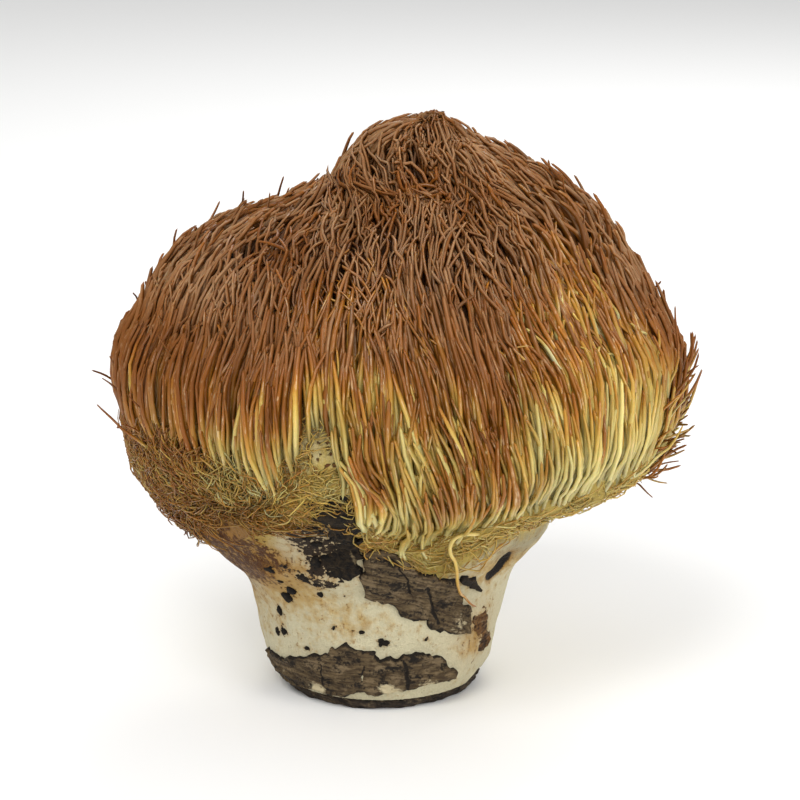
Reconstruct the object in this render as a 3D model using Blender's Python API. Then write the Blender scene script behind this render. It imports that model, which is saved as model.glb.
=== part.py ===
"""A lion's mane mushroom that stands on the cut end of its stalk.

The fungus grew as one piece, so stalk, head and spines are one solid: a loft of shifted
ellipses, whose upper faces are drawn out into locks that lean up towards the peak. The bark
that came away from the log with it is in pieces of its own: a slab under the cut, and plates
and chips that sit in pockets of the stalk.

Frame: metres, +Z up, the front of the object faces -Y, and the origin is the middle of the
cut face. A turn is an angle about Z from +X, so the front is at 270 degrees.
"""

import functools
import math
import random
from dataclasses import dataclass

import bmesh
import bpy
from mathutils import Vector, noise

MM = 0.001
GAP = 0.3 * MM

# The outline from the front, tips of the spines included: height, left and right reach, in mm.
OUTLINE = (
    (0, -29.5, 29.5),
    (4.5, -32, 32),
    (9, -35, 34.5),
    (20, -37.8, 37),
    (30, -40, 39.3),
    (39, -45, 42.5),
    (45, -52.5, 48.5),
    (52, -59.8, 53),
    (58, -67.5, 59.5),
    (64.5, -75, 74),
    (71, -79, 86),
    (84, -82.6, 95.5),
    (97, -84, 96.4),
    (113, -80, 93),
    (129, -73, 83.5),
    (138, -63, 77),
    (144, -49.5, 73.5),
    (149, -34, 69.5),
    (155.5, -19, 59),
    (161, -11.5, 47.5),
    (167, -8, 34.5),
    (175, -3.5, 26.5),
    (179, 5, 22),
    (181, 14, 18.5),
)
# How far the sections reach to front and back, as a share of half their width, by height.
DEPTH_SHARE = (
    (0, 1.08),
    (9, 1.02),
    (30, 0.96),
    (45, 0.88),
    (60, 0.82),
    (76, 0.84),
    (92, 0.87),
    (184, 0.87),
)
# Height of the lower edge of the spines, in mm, by turn in degrees.
RIM = (
    (0, 67.5),
    (45, 65),
    (90, 63),
    (135, 61),
    (165, 57),
    (182, 55),
    (200, 54),
    (218, 55.5),
    (233, 58.5),
    (242, 64.5),
    (247, 70),
    (252, 75),
    (259, 76.5),
    (266, 72),
    (272, 63.5),
    (279, 58),
    (286, 55.5),
    (293, 56.5),
    (299, 59.5),
    (306, 63.5),
    (315, 67),
    (330, 69),
    (345, 69),
    (360, 67.5),
)
# Top of the lobe of short curly spines at the lower left, in the same units.
LOBE_TOP = (
    (0, 0),
    (150, 0),
    (170, 68),
    (188, 76),
    (212, 82),
    (226, 79),
    (237, 75.5),
    (246, 73),
    (252, 50),
    (262, 0),
    (360, 0),
)

# The mesh of the fungus.
COLUMNS = 96
STALK_LEVELS = (0, 0.12, 0.26, 0.4, 0.53, 0.65, 0.77, 0.88, 1)
MANE_ROWS = 16
# The stalk has one column in two. From these rows up the mane has one in two, four, then eight.
THINNED_ROWS = ((10, 2), (13, 4), (15, 8))
FLESH_BOTTOM = 3.5 * MM
PEAK = Vector((16.5 * MM, 0, 181 * MM))

# The flesh lies this far inside the outline, and the tips of the locks reach it.
MANE_INSET = 5.2 * MM
INSET_RAMP = 12 * MM
LUMP_HEIGHT = 1.6 * MM
LUMP_SIZE = 34 * MM
# The lumps grow from the foot up to this height, and fade this near to the axis.
LUMPS_FULL = 24 * MM
LUMPS_APART = 20 * MM
# No inset takes more than this share of half the width.
MOST_INSET = 0.6

# The parting between the left and the right mass of spines, at the front.
PARTING_TURN = 259
PARTING_WIDTH = 9
PARTING_DEPTH = 4.5 * MM
PARTING_FULL = 80 * MM
PARTING_TOP = 118 * MM
# It starts this far below the rim, and is as deep as it gets as far above it.
PARTING_START = 8 * MM

# The locks of the mane: reach along the skin, and rise above it for each metre of reach.
LOCK_REACH = 15 * MM
LOCK_RISE = 0.4
LOBE_REACH = 9 * MM
LOBE_RISE = 0.45
FRINGE_REACH = 2.5 * MM
FRINGE_DROP = 2 * MM
REACH_SPREAD = 0.18
RISE_SPREAD = 0.12
SWAY = 0.35
# The longest lock, as a share of the way from its root to the peak.
LONGEST_SHARE = 0.55

# The size of the notches in a plate's edge.
RAGGED_SIZE = 6.5 * MM
# Its relief runs in ridges along the plate: their size, how flat they are, and their share of its rise.
RELIEF_SIZE = 9 * MM
RELIEF_FLATNESS = 3
RELIEF_SHARE = 0.45
# Noise read this far away has nothing to do with the noise here.
FAR_AWAY = Vector((7.1, 3.7, 5.3))
# How far the cutter of a plate's pocket stands out of the skin, above the plate.
POCKET_RISE = 2 * MM

# The slab of bark under the cut.
FOOT_TOP = FLESH_BOTTOM - GAP
FOOT_RAGGED = 1.1 * MM
FOOT_NOTCH = 5 * MM
FOOT_COLUMNS = 60

# How finely the skin is measured.
MERIDIAN_STEPS = 60
TURN_STEP = 0.02
SHARE_STEP = 0.01
HEIGHT_STEP = 1.5 * MM


@dataclass
class Plate:
    """A piece of bark in the skin of the stalk. Corners are turn in degrees and height in mm."""

    name: str
    lower_left: tuple
    lower_right: tuple
    upper_right: tuple
    upper_left: tuple
    cells: tuple
    proud: float = 1.1 * MM
    thickness: float = 2.6 * MM
    crown: float = 0.0
    ragged: float = 1.3 * MM
    colour: tuple = (0.13, 0.10, 0.075, 1)

    def place(self, across, up):
        """Turn in radians and height in metres at a share across and up the plate."""
        lower = [a + (b - a) * across for a, b in zip(self.lower_left, self.lower_right)]
        upper = [a + (b - a) * across for a, b in zip(self.upper_left, self.upper_right)]
        turn, height = [a + (b - a) * up for a, b in zip(lower, upper)]
        height += self.crown / MM * math.sin(math.pi * min(max(across, 0), 1)) * up
        return math.radians(turn), height * MM


PLATES = (
    Plate("bark_plate_low", (192, 5.4), (311, 8), (310, 12.5), (190, 12), (28, 4), crown=8.5 * MM),
    Plate("bark_plate_high", (266.5, 39.5), (317, 22.5), (314.5, 31.5), (268.5, 57.5), (14, 7)),
    Plate(
        "bark_crust_neck",
        (254.5, 48),
        (262.5, 49),
        (263.5, 67),
        (252.5, 69.5),
        (4, 8),
        proud=0.8 * MM,
        ragged=0.9 * MM,
        colour=(0.045, 0.036, 0.032, 1),
    ),
    Plate(
        "bark_chip_side",
        (325, 15),
        (342, 13),
        (332, 28),
        (326.5, 28.5),
        (3, 6),
        proud=0.7 * MM,
        ragged=0.6 * MM,
        colour=(0.18, 0.09, 0.045, 1),
    ),
    Plate(
        "bark_sliver",
        (304.5, 46.5),
        (320, 38),
        (321.5, 40),
        (305, 49.5),
        (6, 2),
        proud=0.7 * MM,
        ragged=0.5 * MM,
        colour=(0.03, 0.026, 0.024, 1),
    ),
)


def read_curve(rows, where):
    """The values between the rows at the key where, on a smooth curve through all of them."""
    last = len(rows) - 1
    where = min(max(where, rows[0][0]), rows[last][0])
    low = max(index for index in range(last) if rows[index][0] <= where)
    span = rows[low + 1][0] - rows[low][0]
    share = (where - rows[low][0]) / span

    def slope(index, column):
        before = rows[max(index - 1, 0)]
        after = rows[min(index + 1, last)]
        return (after[column] - before[column]) / (after[0] - before[0]) * span

    values = []
    for column in range(1, len(rows[0])):
        start, end = rows[low][column], rows[low + 1][column]
        rise_in, rise_out = slope(low, column), slope(low + 1, column)
        square, cube = share**2, share**3
        values.append(
            start * (2 * cube - 3 * square + 1)
            + rise_in * (cube - 2 * square + share)
            + end * (3 * square - 2 * cube)
            + rise_out * (cube - square)
        )
    return values


def smooth_step(low, high, value):
    share = min(max((value - low) / (high - low), 0), 1)
    return share * share * (3 - 2 * share)


def degrees(turn):
    return math.degrees(turn) % 360


def rim_height(turn):
    return read_curve(RIM, degrees(turn))[0] * MM


def lobe_top(turn):
    return read_curve(LOBE_TOP, degrees(turn))[0] * MM


def skin_point(turn, height):
    """A point of the flesh: the outline's ellipse, drawn in under the spines, with lumps and parting."""
    left, right = read_curve(OUTLINE, height / MM)
    share = read_curve(DEPTH_SHARE, height / MM)[0]
    half = (right - left) / 2 * MM
    middle = (right + left) / 2 * MM
    away = height - rim_height(turn)
    inset = MANE_INSET * smooth_step(0, INSET_RAMP, away)
    off_parting = (degrees(turn) - PARTING_TURN) / PARTING_WIDTH
    in_parting = smooth_step(-PARTING_START, PARTING_START, away)
    in_parting *= smooth_step(PARTING_TOP, PARTING_FULL, height)
    inset += PARTING_DEPTH * math.exp(-(off_parting**2)) * in_parting
    about = Vector((math.cos(turn) * half, math.sin(turn) * half, height)) / LUMP_SIZE
    fade = smooth_step(FLESH_BOTTOM, LUMPS_FULL, height) * smooth_step(0, LUMPS_APART, half)
    inset += LUMP_HEIGHT * noise.noise(about) * fade
    inset = min(inset, half * MOST_INSET)
    return Vector(
        (
            middle + (half - inset) * math.cos(turn),
            (half * share - inset) * math.sin(turn),
            height,
        )
    )


@functools.lru_cache(maxsize=None)
def meridian(turn):
    """Points of the skin from the rim to the peak at one turn, and the length along it to each."""
    rim = rim_height(turn)
    shares = [math.sin(math.pi / 2 * step / MERIDIAN_STEPS) for step in range(MERIDIAN_STEPS + 1)]
    points = [skin_point(turn, rim + (PEAK.z - rim) * share) for share in shares]
    points[-1] = PEAK
    lengths = [0.0]
    for before, after in zip(points, points[1:]):
        lengths.append(lengths[-1] + (after - before).length)
    return points, lengths


def mane_point(turn, share):
    """A point of the skin at a share of the way from the rim to the peak."""
    points, lengths = meridian(round(turn, 6))
    wanted = min(max(share, 0), 1) * lengths[-1]
    index = max(i for i in range(len(lengths) - 1) if lengths[i] <= wanted)
    part = (wanted - lengths[index]) / (lengths[index + 1] - lengths[index])
    return points[index].lerp(points[index + 1], part)


def mane_length(turn):
    return meridian(round(turn, 6))[1][-1]


def outward(place, turn, along):
    """Unit vector out of the surface place(turn, along)."""
    across = place(turn + TURN_STEP, along) - place(turn - TURN_STEP, along)
    step = SHARE_STEP if place is mane_point else HEIGHT_STEP
    up = place(turn, along + step) - place(turn, along - step)
    normal = across.cross(up)
    return normal.normalized() if normal.length > 0 else Vector((0, 0, 1))


def material(name, colour, roughness):
    made = bpy.data.materials.new(name)
    made.use_nodes = True
    shader = made.node_tree.nodes["Principled BSDF"]
    shader.inputs["Base Color"].default_value = colour
    shader.inputs["Roughness"].default_value = roughness
    shader.inputs["Metallic"].default_value = 0
    return made


def object_from(shell, name, collection):
    """An object of the shell's faces, cut into triangles because most of them are not flat."""
    bmesh.ops.triangulate(shell, faces=shell.faces)
    mesh = bpy.data.meshes.new(name)
    shell.to_mesh(mesh)
    shell.free()
    made = bpy.data.objects.new(name, mesh)
    collection.objects.link(made)
    return made


def lay_rings(shell):
    """Moves the points of a unit sphere onto the fungus. Returns each point's row, column and turn."""
    rows = len(STALK_LEVELS) + MANE_ROWS
    first = len(STALK_LEVELS)
    column_angle = 2 * math.pi / COLUMNS
    laid = {}
    for vert in shell.verts:
        row = round((1 - math.acos(min(max(vert.co.z, -1), 1)) / math.pi) * rows)
        turn = math.atan2(vert.co.y, vert.co.x)
        column = round(turn / column_angle) % COLUMNS
        turn += max(row - first, 0) * column_angle / 2
        if row == 0:
            vert.co = (0, 0, FLESH_BOTTOM)
        elif row <= first:
            level = STALK_LEVELS[row - 1]
            vert.co = skin_point(turn, FLESH_BOTTOM + (rim_height(turn) - FLESH_BOTTOM) * level)
        else:
            vert.co = mane_point(turn, (row - first) / MANE_ROWS)
        laid[vert] = (row, column, turn)
    return laid


def thin_columns(shell, laid):
    """Lets some columns end at the rim and on the way up, because they draw together at the peak."""
    first = len(STALK_LEVELS)
    ends = []
    for edge in shell.edges:
        lower, upper = sorted((laid[vert] for vert in edge.verts), key=lambda place: place[0])
        if lower[0] == upper[0]:
            continue
        column = lower[1] if lower[0] else upper[1]
        steps = [one_in for from_row, one_in in THINNED_ROWS if lower[0] >= first + from_row]
        one_in = max(steps) if steps else 2 if upper[0] <= first else 1
        if column % one_in:
            ends.append(edge)
    bmesh.ops.dissolve_edges(shell, edges=ends, use_verts=True)


def lock_tip(turn, row, chance):
    """Where the tip goes of a lock whose root is in this row of the mane."""
    spread = 1 + REACH_SPREAD * chance.uniform(-1, 1)
    steep = 1 + RISE_SPREAD * chance.uniform(-1, 1)
    sway = SWAY * chance.uniform(-1, 1) * 2 * math.pi / COLUMNS
    share = (row + 0.5) / MANE_ROWS
    root = mane_point(turn, share)
    if row == 0:
        out = outward(mane_point, turn, share)
        return root + out * FRINGE_REACH * spread - Vector((0, 0, FRINGE_DROP * spread))
    in_lobe = root.z < lobe_top(turn)
    reach = (LOBE_REACH if in_lobe else LOCK_REACH) * spread
    rise = (LOBE_RISE if in_lobe else LOCK_RISE) * steep
    length = mane_length(turn)
    reach = min(reach, LONGEST_SHARE * (1 - share) * length)
    ahead = share + reach / length
    turn += sway
    return mane_point(turn, ahead) + outward(mane_point, turn, min(ahead, 0.97)) * reach * rise


def draw_locks(shell, laid):
    """Pokes every face above the rim and pulls its middle out to the tip of a lock."""
    first = len(STALK_LEVELS)
    mane = [face for face in shell.faces if min(laid[vert][0] for vert in face.verts) >= first]
    poked = bmesh.ops.poke(shell, faces=mane)
    for tip in poked["verts"]:
        corners = [laid[edge.other_vert(tip)] for edge in tip.link_edges]
        row = min(corner[0] for corner in corners) - first
        low_turns = [corner[2] for corner in corners if corner[0] - first == row]
        offsets = [math.remainder(turn - low_turns[0], 2 * math.pi) for turn in low_turns]
        turn = low_turns[0] + (min(offsets) + max(offsets)) / 2 + math.pi / COLUMNS / 2
        chance = random.Random(1000 * row + round(degrees(turn) * 4))
        tip.co = lock_tip(turn, row, chance)


def build_mushroom(collection):
    shell = bmesh.new()
    rows = len(STALK_LEVELS) + MANE_ROWS
    bmesh.ops.create_uvsphere(shell, u_segments=COLUMNS, v_segments=rows, radius=1)
    laid = lay_rings(shell)
    thin_columns(shell, laid)
    draw_locks(shell, laid)
    made = object_from(shell, "mushroom", collection)
    made.data.materials.append(material("flesh_and_spines", (0.42, 0.22, 0.07, 1), 0.6))
    return made


def plate_point(plate, across, up, lift):
    """A point of the plate's outer face, with its ragged outline and its relief, raised by lift."""
    turn, height = plate.place(across, up)
    there = skin_point(turn, height)
    turn += plate.ragged * noise.noise(there / RAGGED_SIZE) / there.xy.length
    height += plate.ragged * noise.noise(there / RAGGED_SIZE + FAR_AWAY)
    in_ridges = Vector((there.x, there.y, there.z * RELIEF_FLATNESS)) / RELIEF_SIZE
    relief = noise.noise(in_ridges) * plate.proud * RELIEF_SHARE
    out = outward(skin_point, turn, height)
    return skin_point(turn, height) + out * (plate.proud + lift + relief)


def plate_solid(plate, name, grow, top, bottom, collection):
    """The plate between two lifts over the skin, grown by some metres all round."""
    shell = bmesh.new()
    across_cells, up_cells = plate.cells
    bmesh.ops.create_grid(shell, x_segments=across_cells, y_segments=up_cells, size=0.5)
    extruded = bmesh.ops.extrude_face_region(shell, geom=list(shell.faces))["geom"]
    upper = {item for item in extruded if isinstance(item, bmesh.types.BMVert)}
    for vert in shell.verts:
        side = round(vert.co.x * 2, 4) if abs(vert.co.x) > 0.499 else 0
        end = round(vert.co.y * 2, 4) if abs(vert.co.y) > 0.499 else 0
        across, up = 0.5 + vert.co.x, 0.5 + vert.co.y
        lift = top if vert in upper else bottom
        place = plate_point(plate, across, up, lift)
        sideways = plate_point(plate, across + 0.01, up, lift) - place
        upwards = plate_point(plate, across, up + 0.01, lift) - place
        vert.co = place + sideways.normalized() * side * grow + upwards.normalized() * end * grow
    bmesh.ops.recalc_face_normals(shell, faces=shell.faces)
    if shell.calc_volume(signed=True) < 0:
        bmesh.ops.reverse_faces(shell, faces=shell.faces)
    return object_from(shell, name, collection)


def build_plates(mushroom, parts, cutters):
    """Each plate, and the pocket that holds it with a small gap all round."""
    for plate in PLATES:
        bottom = -plate.thickness
        made = plate_solid(plate, plate.name, 0, 0, bottom, parts)
        made.data.materials.append(material(plate.name, plate.colour, 0.85))
        cutter = plate_solid(plate, "pocket_of_" + plate.name, GAP, POCKET_RISE, bottom - GAP, cutters)
        cutter.hide_render = True
        cutter.display_type = "WIRE"
    pockets = mushroom.modifiers.new("pockets", "BOOLEAN")
    pockets.operation = "DIFFERENCE"
    pockets.solver = "EXACT"
    pockets.operand_type = "COLLECTION"
    pockets.collection = cutters


def build_foot(collection):
    """The slab of bark: a cylinder whose wall follows the foot of the stalk with a ragged edge."""
    shell = bmesh.new()
    bmesh.ops.create_cone(
        shell,
        cap_ends=True,
        segments=FOOT_COLUMNS,
        radius1=1,
        radius2=1,
        depth=FOOT_TOP,
    )
    for vert in shell.verts:
        turn = math.atan2(vert.co.y, vert.co.x)
        height = 0 if vert.co.z < 0 else FOOT_TOP
        edge = skin_point(turn, height)
        ragged = FOOT_RAGGED * noise.noise(edge / FOOT_NOTCH)
        vert.co = edge * (1 + ragged / edge.xy.length)
        vert.co.z = height
    made = object_from(shell, "bark_foot", collection)
    made.data.materials.append(material("bark_foot", (0.07, 0.055, 0.045, 1), 0.9))


def main():
    for old in list(bpy.data.objects):
        bpy.data.objects.remove(old)
    parts = bpy.data.collections.new("lions_mane_mushroom")
    cutters = bpy.data.collections.new("cutters")
    for collection in (parts, cutters):
        bpy.context.scene.collection.children.link(collection)
    mushroom = build_mushroom(parts)
    build_plates(mushroom, parts, cutters)
    build_foot(parts)


if __name__ == "__main__":
    main()
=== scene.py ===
"""The looks of a lion's mane mushroom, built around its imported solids.

The fungus stands on the cut end of its stalk. Its spines are rooted in the pale flesh of the lower edge
and point up to a blunt peak. Every spine is a thin closed tube over one shared surface, the skin, which
is worked out from the same named values as the solids. Bark from the log clings to the stalk.

Frame: metres, +Z up, the front faces -Y. A turn is an angle about Z from +X, so the front is at 270
degrees. A distance is measured along the skin from the rim of the spines, up towards the peak, and is
negative on the underside and the stalk.
"""

import logging
import math
from dataclasses import dataclass, replace
from enum import Enum

import bpy
import numpy as np
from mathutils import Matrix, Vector
from numpy.typing import NDArray


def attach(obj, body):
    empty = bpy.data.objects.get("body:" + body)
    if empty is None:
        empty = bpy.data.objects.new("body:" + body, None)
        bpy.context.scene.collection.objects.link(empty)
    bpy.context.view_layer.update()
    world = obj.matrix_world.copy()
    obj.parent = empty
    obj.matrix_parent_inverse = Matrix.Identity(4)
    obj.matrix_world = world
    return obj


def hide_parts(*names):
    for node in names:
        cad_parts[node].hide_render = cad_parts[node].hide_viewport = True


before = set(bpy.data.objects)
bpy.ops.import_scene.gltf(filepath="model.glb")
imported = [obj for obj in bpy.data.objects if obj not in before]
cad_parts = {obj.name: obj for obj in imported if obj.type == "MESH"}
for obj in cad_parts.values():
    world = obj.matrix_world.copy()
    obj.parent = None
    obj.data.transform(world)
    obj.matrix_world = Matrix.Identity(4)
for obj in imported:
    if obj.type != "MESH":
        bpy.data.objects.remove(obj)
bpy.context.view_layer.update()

Array = NDArray[np.float64]
Faces = list[NDArray[np.int64]]
Colour = tuple[float, float, float]
Rows = tuple[tuple[float, ...], ...]

LOG = logging.getLogger("lions_mane")
MM = 0.001
FULL_TURN = 2 * math.pi
UP = np.array((0, 0, 1.0))
DEGREES = np.arange(361.0)
PLASTIC_NUMBER = 1.324717957244746


def smooth_step(low: float, high: float, value: Array) -> Array:
    """Rises from 0 at low to 1 at high, which may be the smaller: share squared times 3 less 2 shares."""
    share = np.clip((value - low) / (high - low), 0, 1)
    return share * share * (3 - 2 * share)


def bell(offset: Array, width: float) -> Array:
    """A bell curve: e to the power of minus the square of offset over width."""
    return np.exp(-((offset / width) ** 2))


def unit(vectors: Array) -> Array:
    """The same vectors at length 1."""
    return vectors / np.maximum(np.linalg.norm(vectors, axis=-1, keepdims=True), 1e-12)


def degrees_of(turn: Array) -> Array:
    """A turn in radians as degrees from 0 to 360."""
    return np.degrees(turn) % 360


def cell_value(cells: NDArray[np.int64], seed: int) -> Array:
    """A random value for each cell of a lattice: its numbers times large primes, bits mixed.

    Args:
        cells: Whole numbers, with three on the last axis.
        seed: Picks one of many unlike sets of values.

    Returns:
        Values from -1 to 1.
    """
    mixed = (cells * np.array((73856093, 19349663, 83492791))).sum(-1) + seed * 1013904223
    mixed = (mixed ^ (mixed >> 13)) * 1274126177
    return ((mixed ^ (mixed >> 16)) & 0xFFFFFF) / 0x7FFFFF - 1


def noise(points: Array, seed: int) -> Array:
    """Smooth noise: the values of the corners of a lattice of unit cubes, blended by smooth steps.

    Args:
        points: Places, with three coordinates on the last axis.
        seed: Picks one of many unlike noises.

    Returns:
        Values from -1 to 1.
    """
    cells = np.floor(points).astype(np.int64)
    part = smooth_step(0, 1, points - cells)
    total = np.zeros(points.shape[:-1])
    for number in range(8):
        corner = np.array((number & 1, number >> 1 & 1, number >> 2 & 1))
        weight = np.prod(np.where(corner, part, 1 - part), axis=-1)
        total += weight * cell_value(cells + corner, seed)
    return total


@dataclass(frozen=True)
class SmoothCurve:
    """A smooth curve through rows of a key and its values.

    Between two rows it is the cubic that has their values and, at each of them, the slope from the row
    before to the row after.
    """

    rows: Rows

    def at(self, where: Array) -> Array:
        """Reads the curve.

        Args:
            where: Keys, held inside the first and the last row.

        Returns:
            The values, with one column for each value of a row on a new last axis.
        """
        table = np.array(self.rows, dtype=float)
        keys, values = table[:, 0], table[:, 1:]
        before = np.maximum(np.arange(len(keys)) - 1, 0)
        after = np.minimum(np.arange(len(keys)) + 1, len(keys) - 1)
        slopes = (values[after] - values[before]) / (keys[after] - keys[before])[:, None]
        where = np.clip(where, keys[0], keys[-1])
        low = np.clip(np.searchsorted(keys, where, side="right") - 1, 0, len(keys) - 2)
        span = (keys[low + 1] - keys[low])[..., None]
        share = (where - keys[low])[..., None] / span
        square, cube = share**2, share**3
        return (
            values[low] * (2 * cube - 3 * square + 1)
            + slopes[low] * span * (cube - 2 * square + share)
            + values[low + 1] * (3 * square - 2 * cube)
            + slopes[low + 1] * span * (cube - square)
        )

    def value(self, where: Array) -> Array:
        """The first value of the curve, without the last axis."""
        return self.at(where)[..., 0]


# The outline from the front, tips of the spines included: height, left and right reach, in mm.
OUTLINE = SmoothCurve((
    (0, -29.5, 29.5), (4.5, -32, 32), (9, -35, 34.5), (20, -37.8, 37), (30, -40, 39.3), (39, -45, 42.5),
    (45, -52.5, 48.5), (52, -59.8, 53), (58, -67.5, 55.5), (64.5, -75, 66), (71, -79, 81),
    (84, -81.8, 93.5), (97, -83, 94.2), (113, -80, 91.5), (129, -73, 82.5), (138, -63, 75.8),
    (144, -49, 72.2), (149, -32.5, 67.8), (155.5, -17.8, 57.5), (161, -12.8, 47), (167, -7, 34.5),
    (175, 0.5, 26.5), (179, 9.5, 22), (181, 15, 18.5),
))
# How far the sections reach to front and back, as a share of half their width, by height in mm.
DEPTH = SmoothCurve((
    (0, 1.08), (9, 1.02), (30, 0.96), (45, 0.88), (60, 0.82), (76, 0.84), (92, 0.87), (184, 0.87),
))
# Height of the lower edge of the spines, in mm, by turn in degrees.
RIM_HEIGHT = SmoothCurve((
    (0, 70.5), (45, 66), (90, 63), (135, 61), (165, 57), (182, 55), (200, 54), (218, 55.5), (233, 58.5),
    (242, 64.5), (247, 70), (252, 75), (259, 76.5), (266, 72), (272, 63.5), (279, 58), (286, 55.5),
    (293, 56.5), (299, 59.5), (306, 63.5), (315, 68.5), (330, 72.5), (345, 73), (360, 70.5),
))
# Top of the lobe of short curly spines at the lower left, in the same units.
LOBE_HEIGHT = SmoothCurve((
    (0, 0), (150, 0), (170, 68), (188, 76), (212, 82), (226, 79), (237, 75.5), (246, 73), (252, 50),
    (262, 0), (360, 0),
))
# Height in mm at which the spines turn from yellow to brown, by turn in degrees.
RIPE_HEIGHT = SmoothCurve((
    (0, 102), (20, 104), (60, 100), (90, 104), (130, 100), (160, 92), (180, 86), (195, 86), (215, 90),
    (232, 93.5), (246, 106), (255, 120), (262, 124), (270, 121), (278, 110), (288, 103), (296, 110),
    (304, 121), (314, 134), (324, 133), (334, 121), (345, 104), (360, 102),
))
# Soft shifts of that height in mm and of the brightness: turn in degrees, height in mm, half widths of
# both, and strength. The first brightness shift darkens the front middle, as painted shade against the
# lights at the front. The second lightens the lower left.
RIPE_SHIFTS = ((279, 74, 11, 20, 15), (264, 81, 6, 15, 52), (268, 62, 5, 9, 16))
SHADE_SHIFTS = ((280, 105, 34, 26, -0.17), (222, 90, 22, 15, 0.09))
# Tone from cream, 0, to brown, 1, by how many mm a place is past the height of ripeness.
TONES = SmoothCurve((
    (-60, 0.08), (-36, 0.13), (-20, 0.21), (-8, 0.33), (2, 0.46), (14, 0.6), (30, 0.72), (50, 0.82),
    (90, 0.94),
))
# How far the spines lean from straight up the slope, in radians, by turn in degrees: on the lower tier
# and on the shoulders above it.
LEAN = SmoothCurve((
    (0, 0, 0), (60, 0, 0.1), (120, 0, -0.1), (180, 0, -0.1), (200, 0, -0.35), (225, 0.04, -0.6),
    (240, 0.04, -0.6), (252, 0.0, -0.5), (266, -0.08, -0.3), (280, -0.22, -0.25), (295, -0.24, -0.3),
    (310, -0.2, -0.3), (325, -0.12, -0.25), (345, 0, -0.1), (360, 0, 0),
))
# The one curled spine: turn in degrees, height and lift off the skin in mm, at even steps from its root.
CURLED = (
    (301, 62.5, 1), (297, 64, 3), (294.5, 64, 4), (294.5, 61.5, 4.5), (295.5, 57, 4.5), (296.5, 51, 4.2),
    (298.5, 45.5, 3.8), (305.5, 39, 3), (312, 34, 2.4), (318, 31.5, 1.8),
)
# The black crumbs on the stalk: turn in degrees, height, half width and half height in mm.
CRUMBS = (
    (234.5, 47.5, 2.1, 1.2), (234, 43, 1, 0.8), (242, 49.5, 0.5, 0.5), (246, 46, 1.9, 1.6),
    (234.5, 39, 1.3, 1.1), (230, 36, 1.4, 1.2), (220.5, 30, 1, 1.4), (215, 22, 1.1, 1.1),
    (220.5, 23, 1, 1.1), (250.5, 44, 1.3, 0.9), (253.5, 44.5, 1.1, 0.8), (248.5, 39.5, 0.7, 1.1),
    (257, 67, 1.6, 1.2), (256.5, 61.5, 1.3, 1.1), (258.5, 59, 1.7, 1.2), (254, 52, 1.5, 2),
    (259.5, 65, 0.6, 1.1), (251.5, 48.5, 0.5, 0.5), (257, 44, 0.35, 0.3), (258.5, 40, 0.35, 0.3),
    (250, 28, 0.5, 0.8), (262, 27.5, 0.9, 0.5), (272, 24, 1.4, 1.1), (234, 19.5, 0.6, 0.5),
    (292, 24, 0.35, 0.35), (262, 77.5, 1, 1.2), (257, 77.5, 1.5, 1), (260, 78.5, 1.2, 0.9),
    (267.5, 73, 1.2, 1.4), (254, 76, 1, 1.1),
)
# Soft blots on the flesh: turn in degrees, height in mm, half widths of both, and strength.
BLOTS: dict[str, Rows] = {
    "stain": (
        (201, 56, 14, 9, 1.2), (220, 47, 12, 7, 1), (227, 54, 12, 8, 1.1), (209, 53, 18, 10, 1.6),
        (196, 40, 14, 8, 0.7), (217, 61, 11, 5, 1.5), (240, 54, 10, 9, 0.5), (262, 52, 9, 8, 0.25),
        (245, 12, 10, 6, 0.25), (322, 22, 14, 9, 0.5),
    ),
    "blush": (
        (232, 46, 22, 14, 0.9), (262, 30, 26, 9, 0.35), (326, 47, 20, 10, 0.9), (322, 20, 12, 10, 0.6),
        (200, 28, 24, 16, 0.4), (90, 30, 60, 14, 0.4), (20, 36, 30, 14, 0.3),
    ),
    "halo": (
        *((turn, height, 1.6 + 1.9 * wide, 0.5 + 1.5 * tall, 0.7) for turn, height, wide, tall in CRUMBS),
        (258, 65, 8, 8, 1.3), (257, 56, 5, 7, 1.1), (262, 49, 8, 3, 0.5), (270, 60, 3, 9, 0.6),
        (305, 44, 12, 3, 0.5),
    ),
    "yellow": ((326, 62, 30, 8, 0.9), (296, 58, 10, 6, 1), (70, 58, 60, 8, 0.6)),
    "cool": ((328, 52, 22, 9, 0.9), (254, 60, 10, 6, 0.2), (285, 17, 26, 5, 0.4), (120, 50, 40, 10, 0.5)),
}


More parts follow.
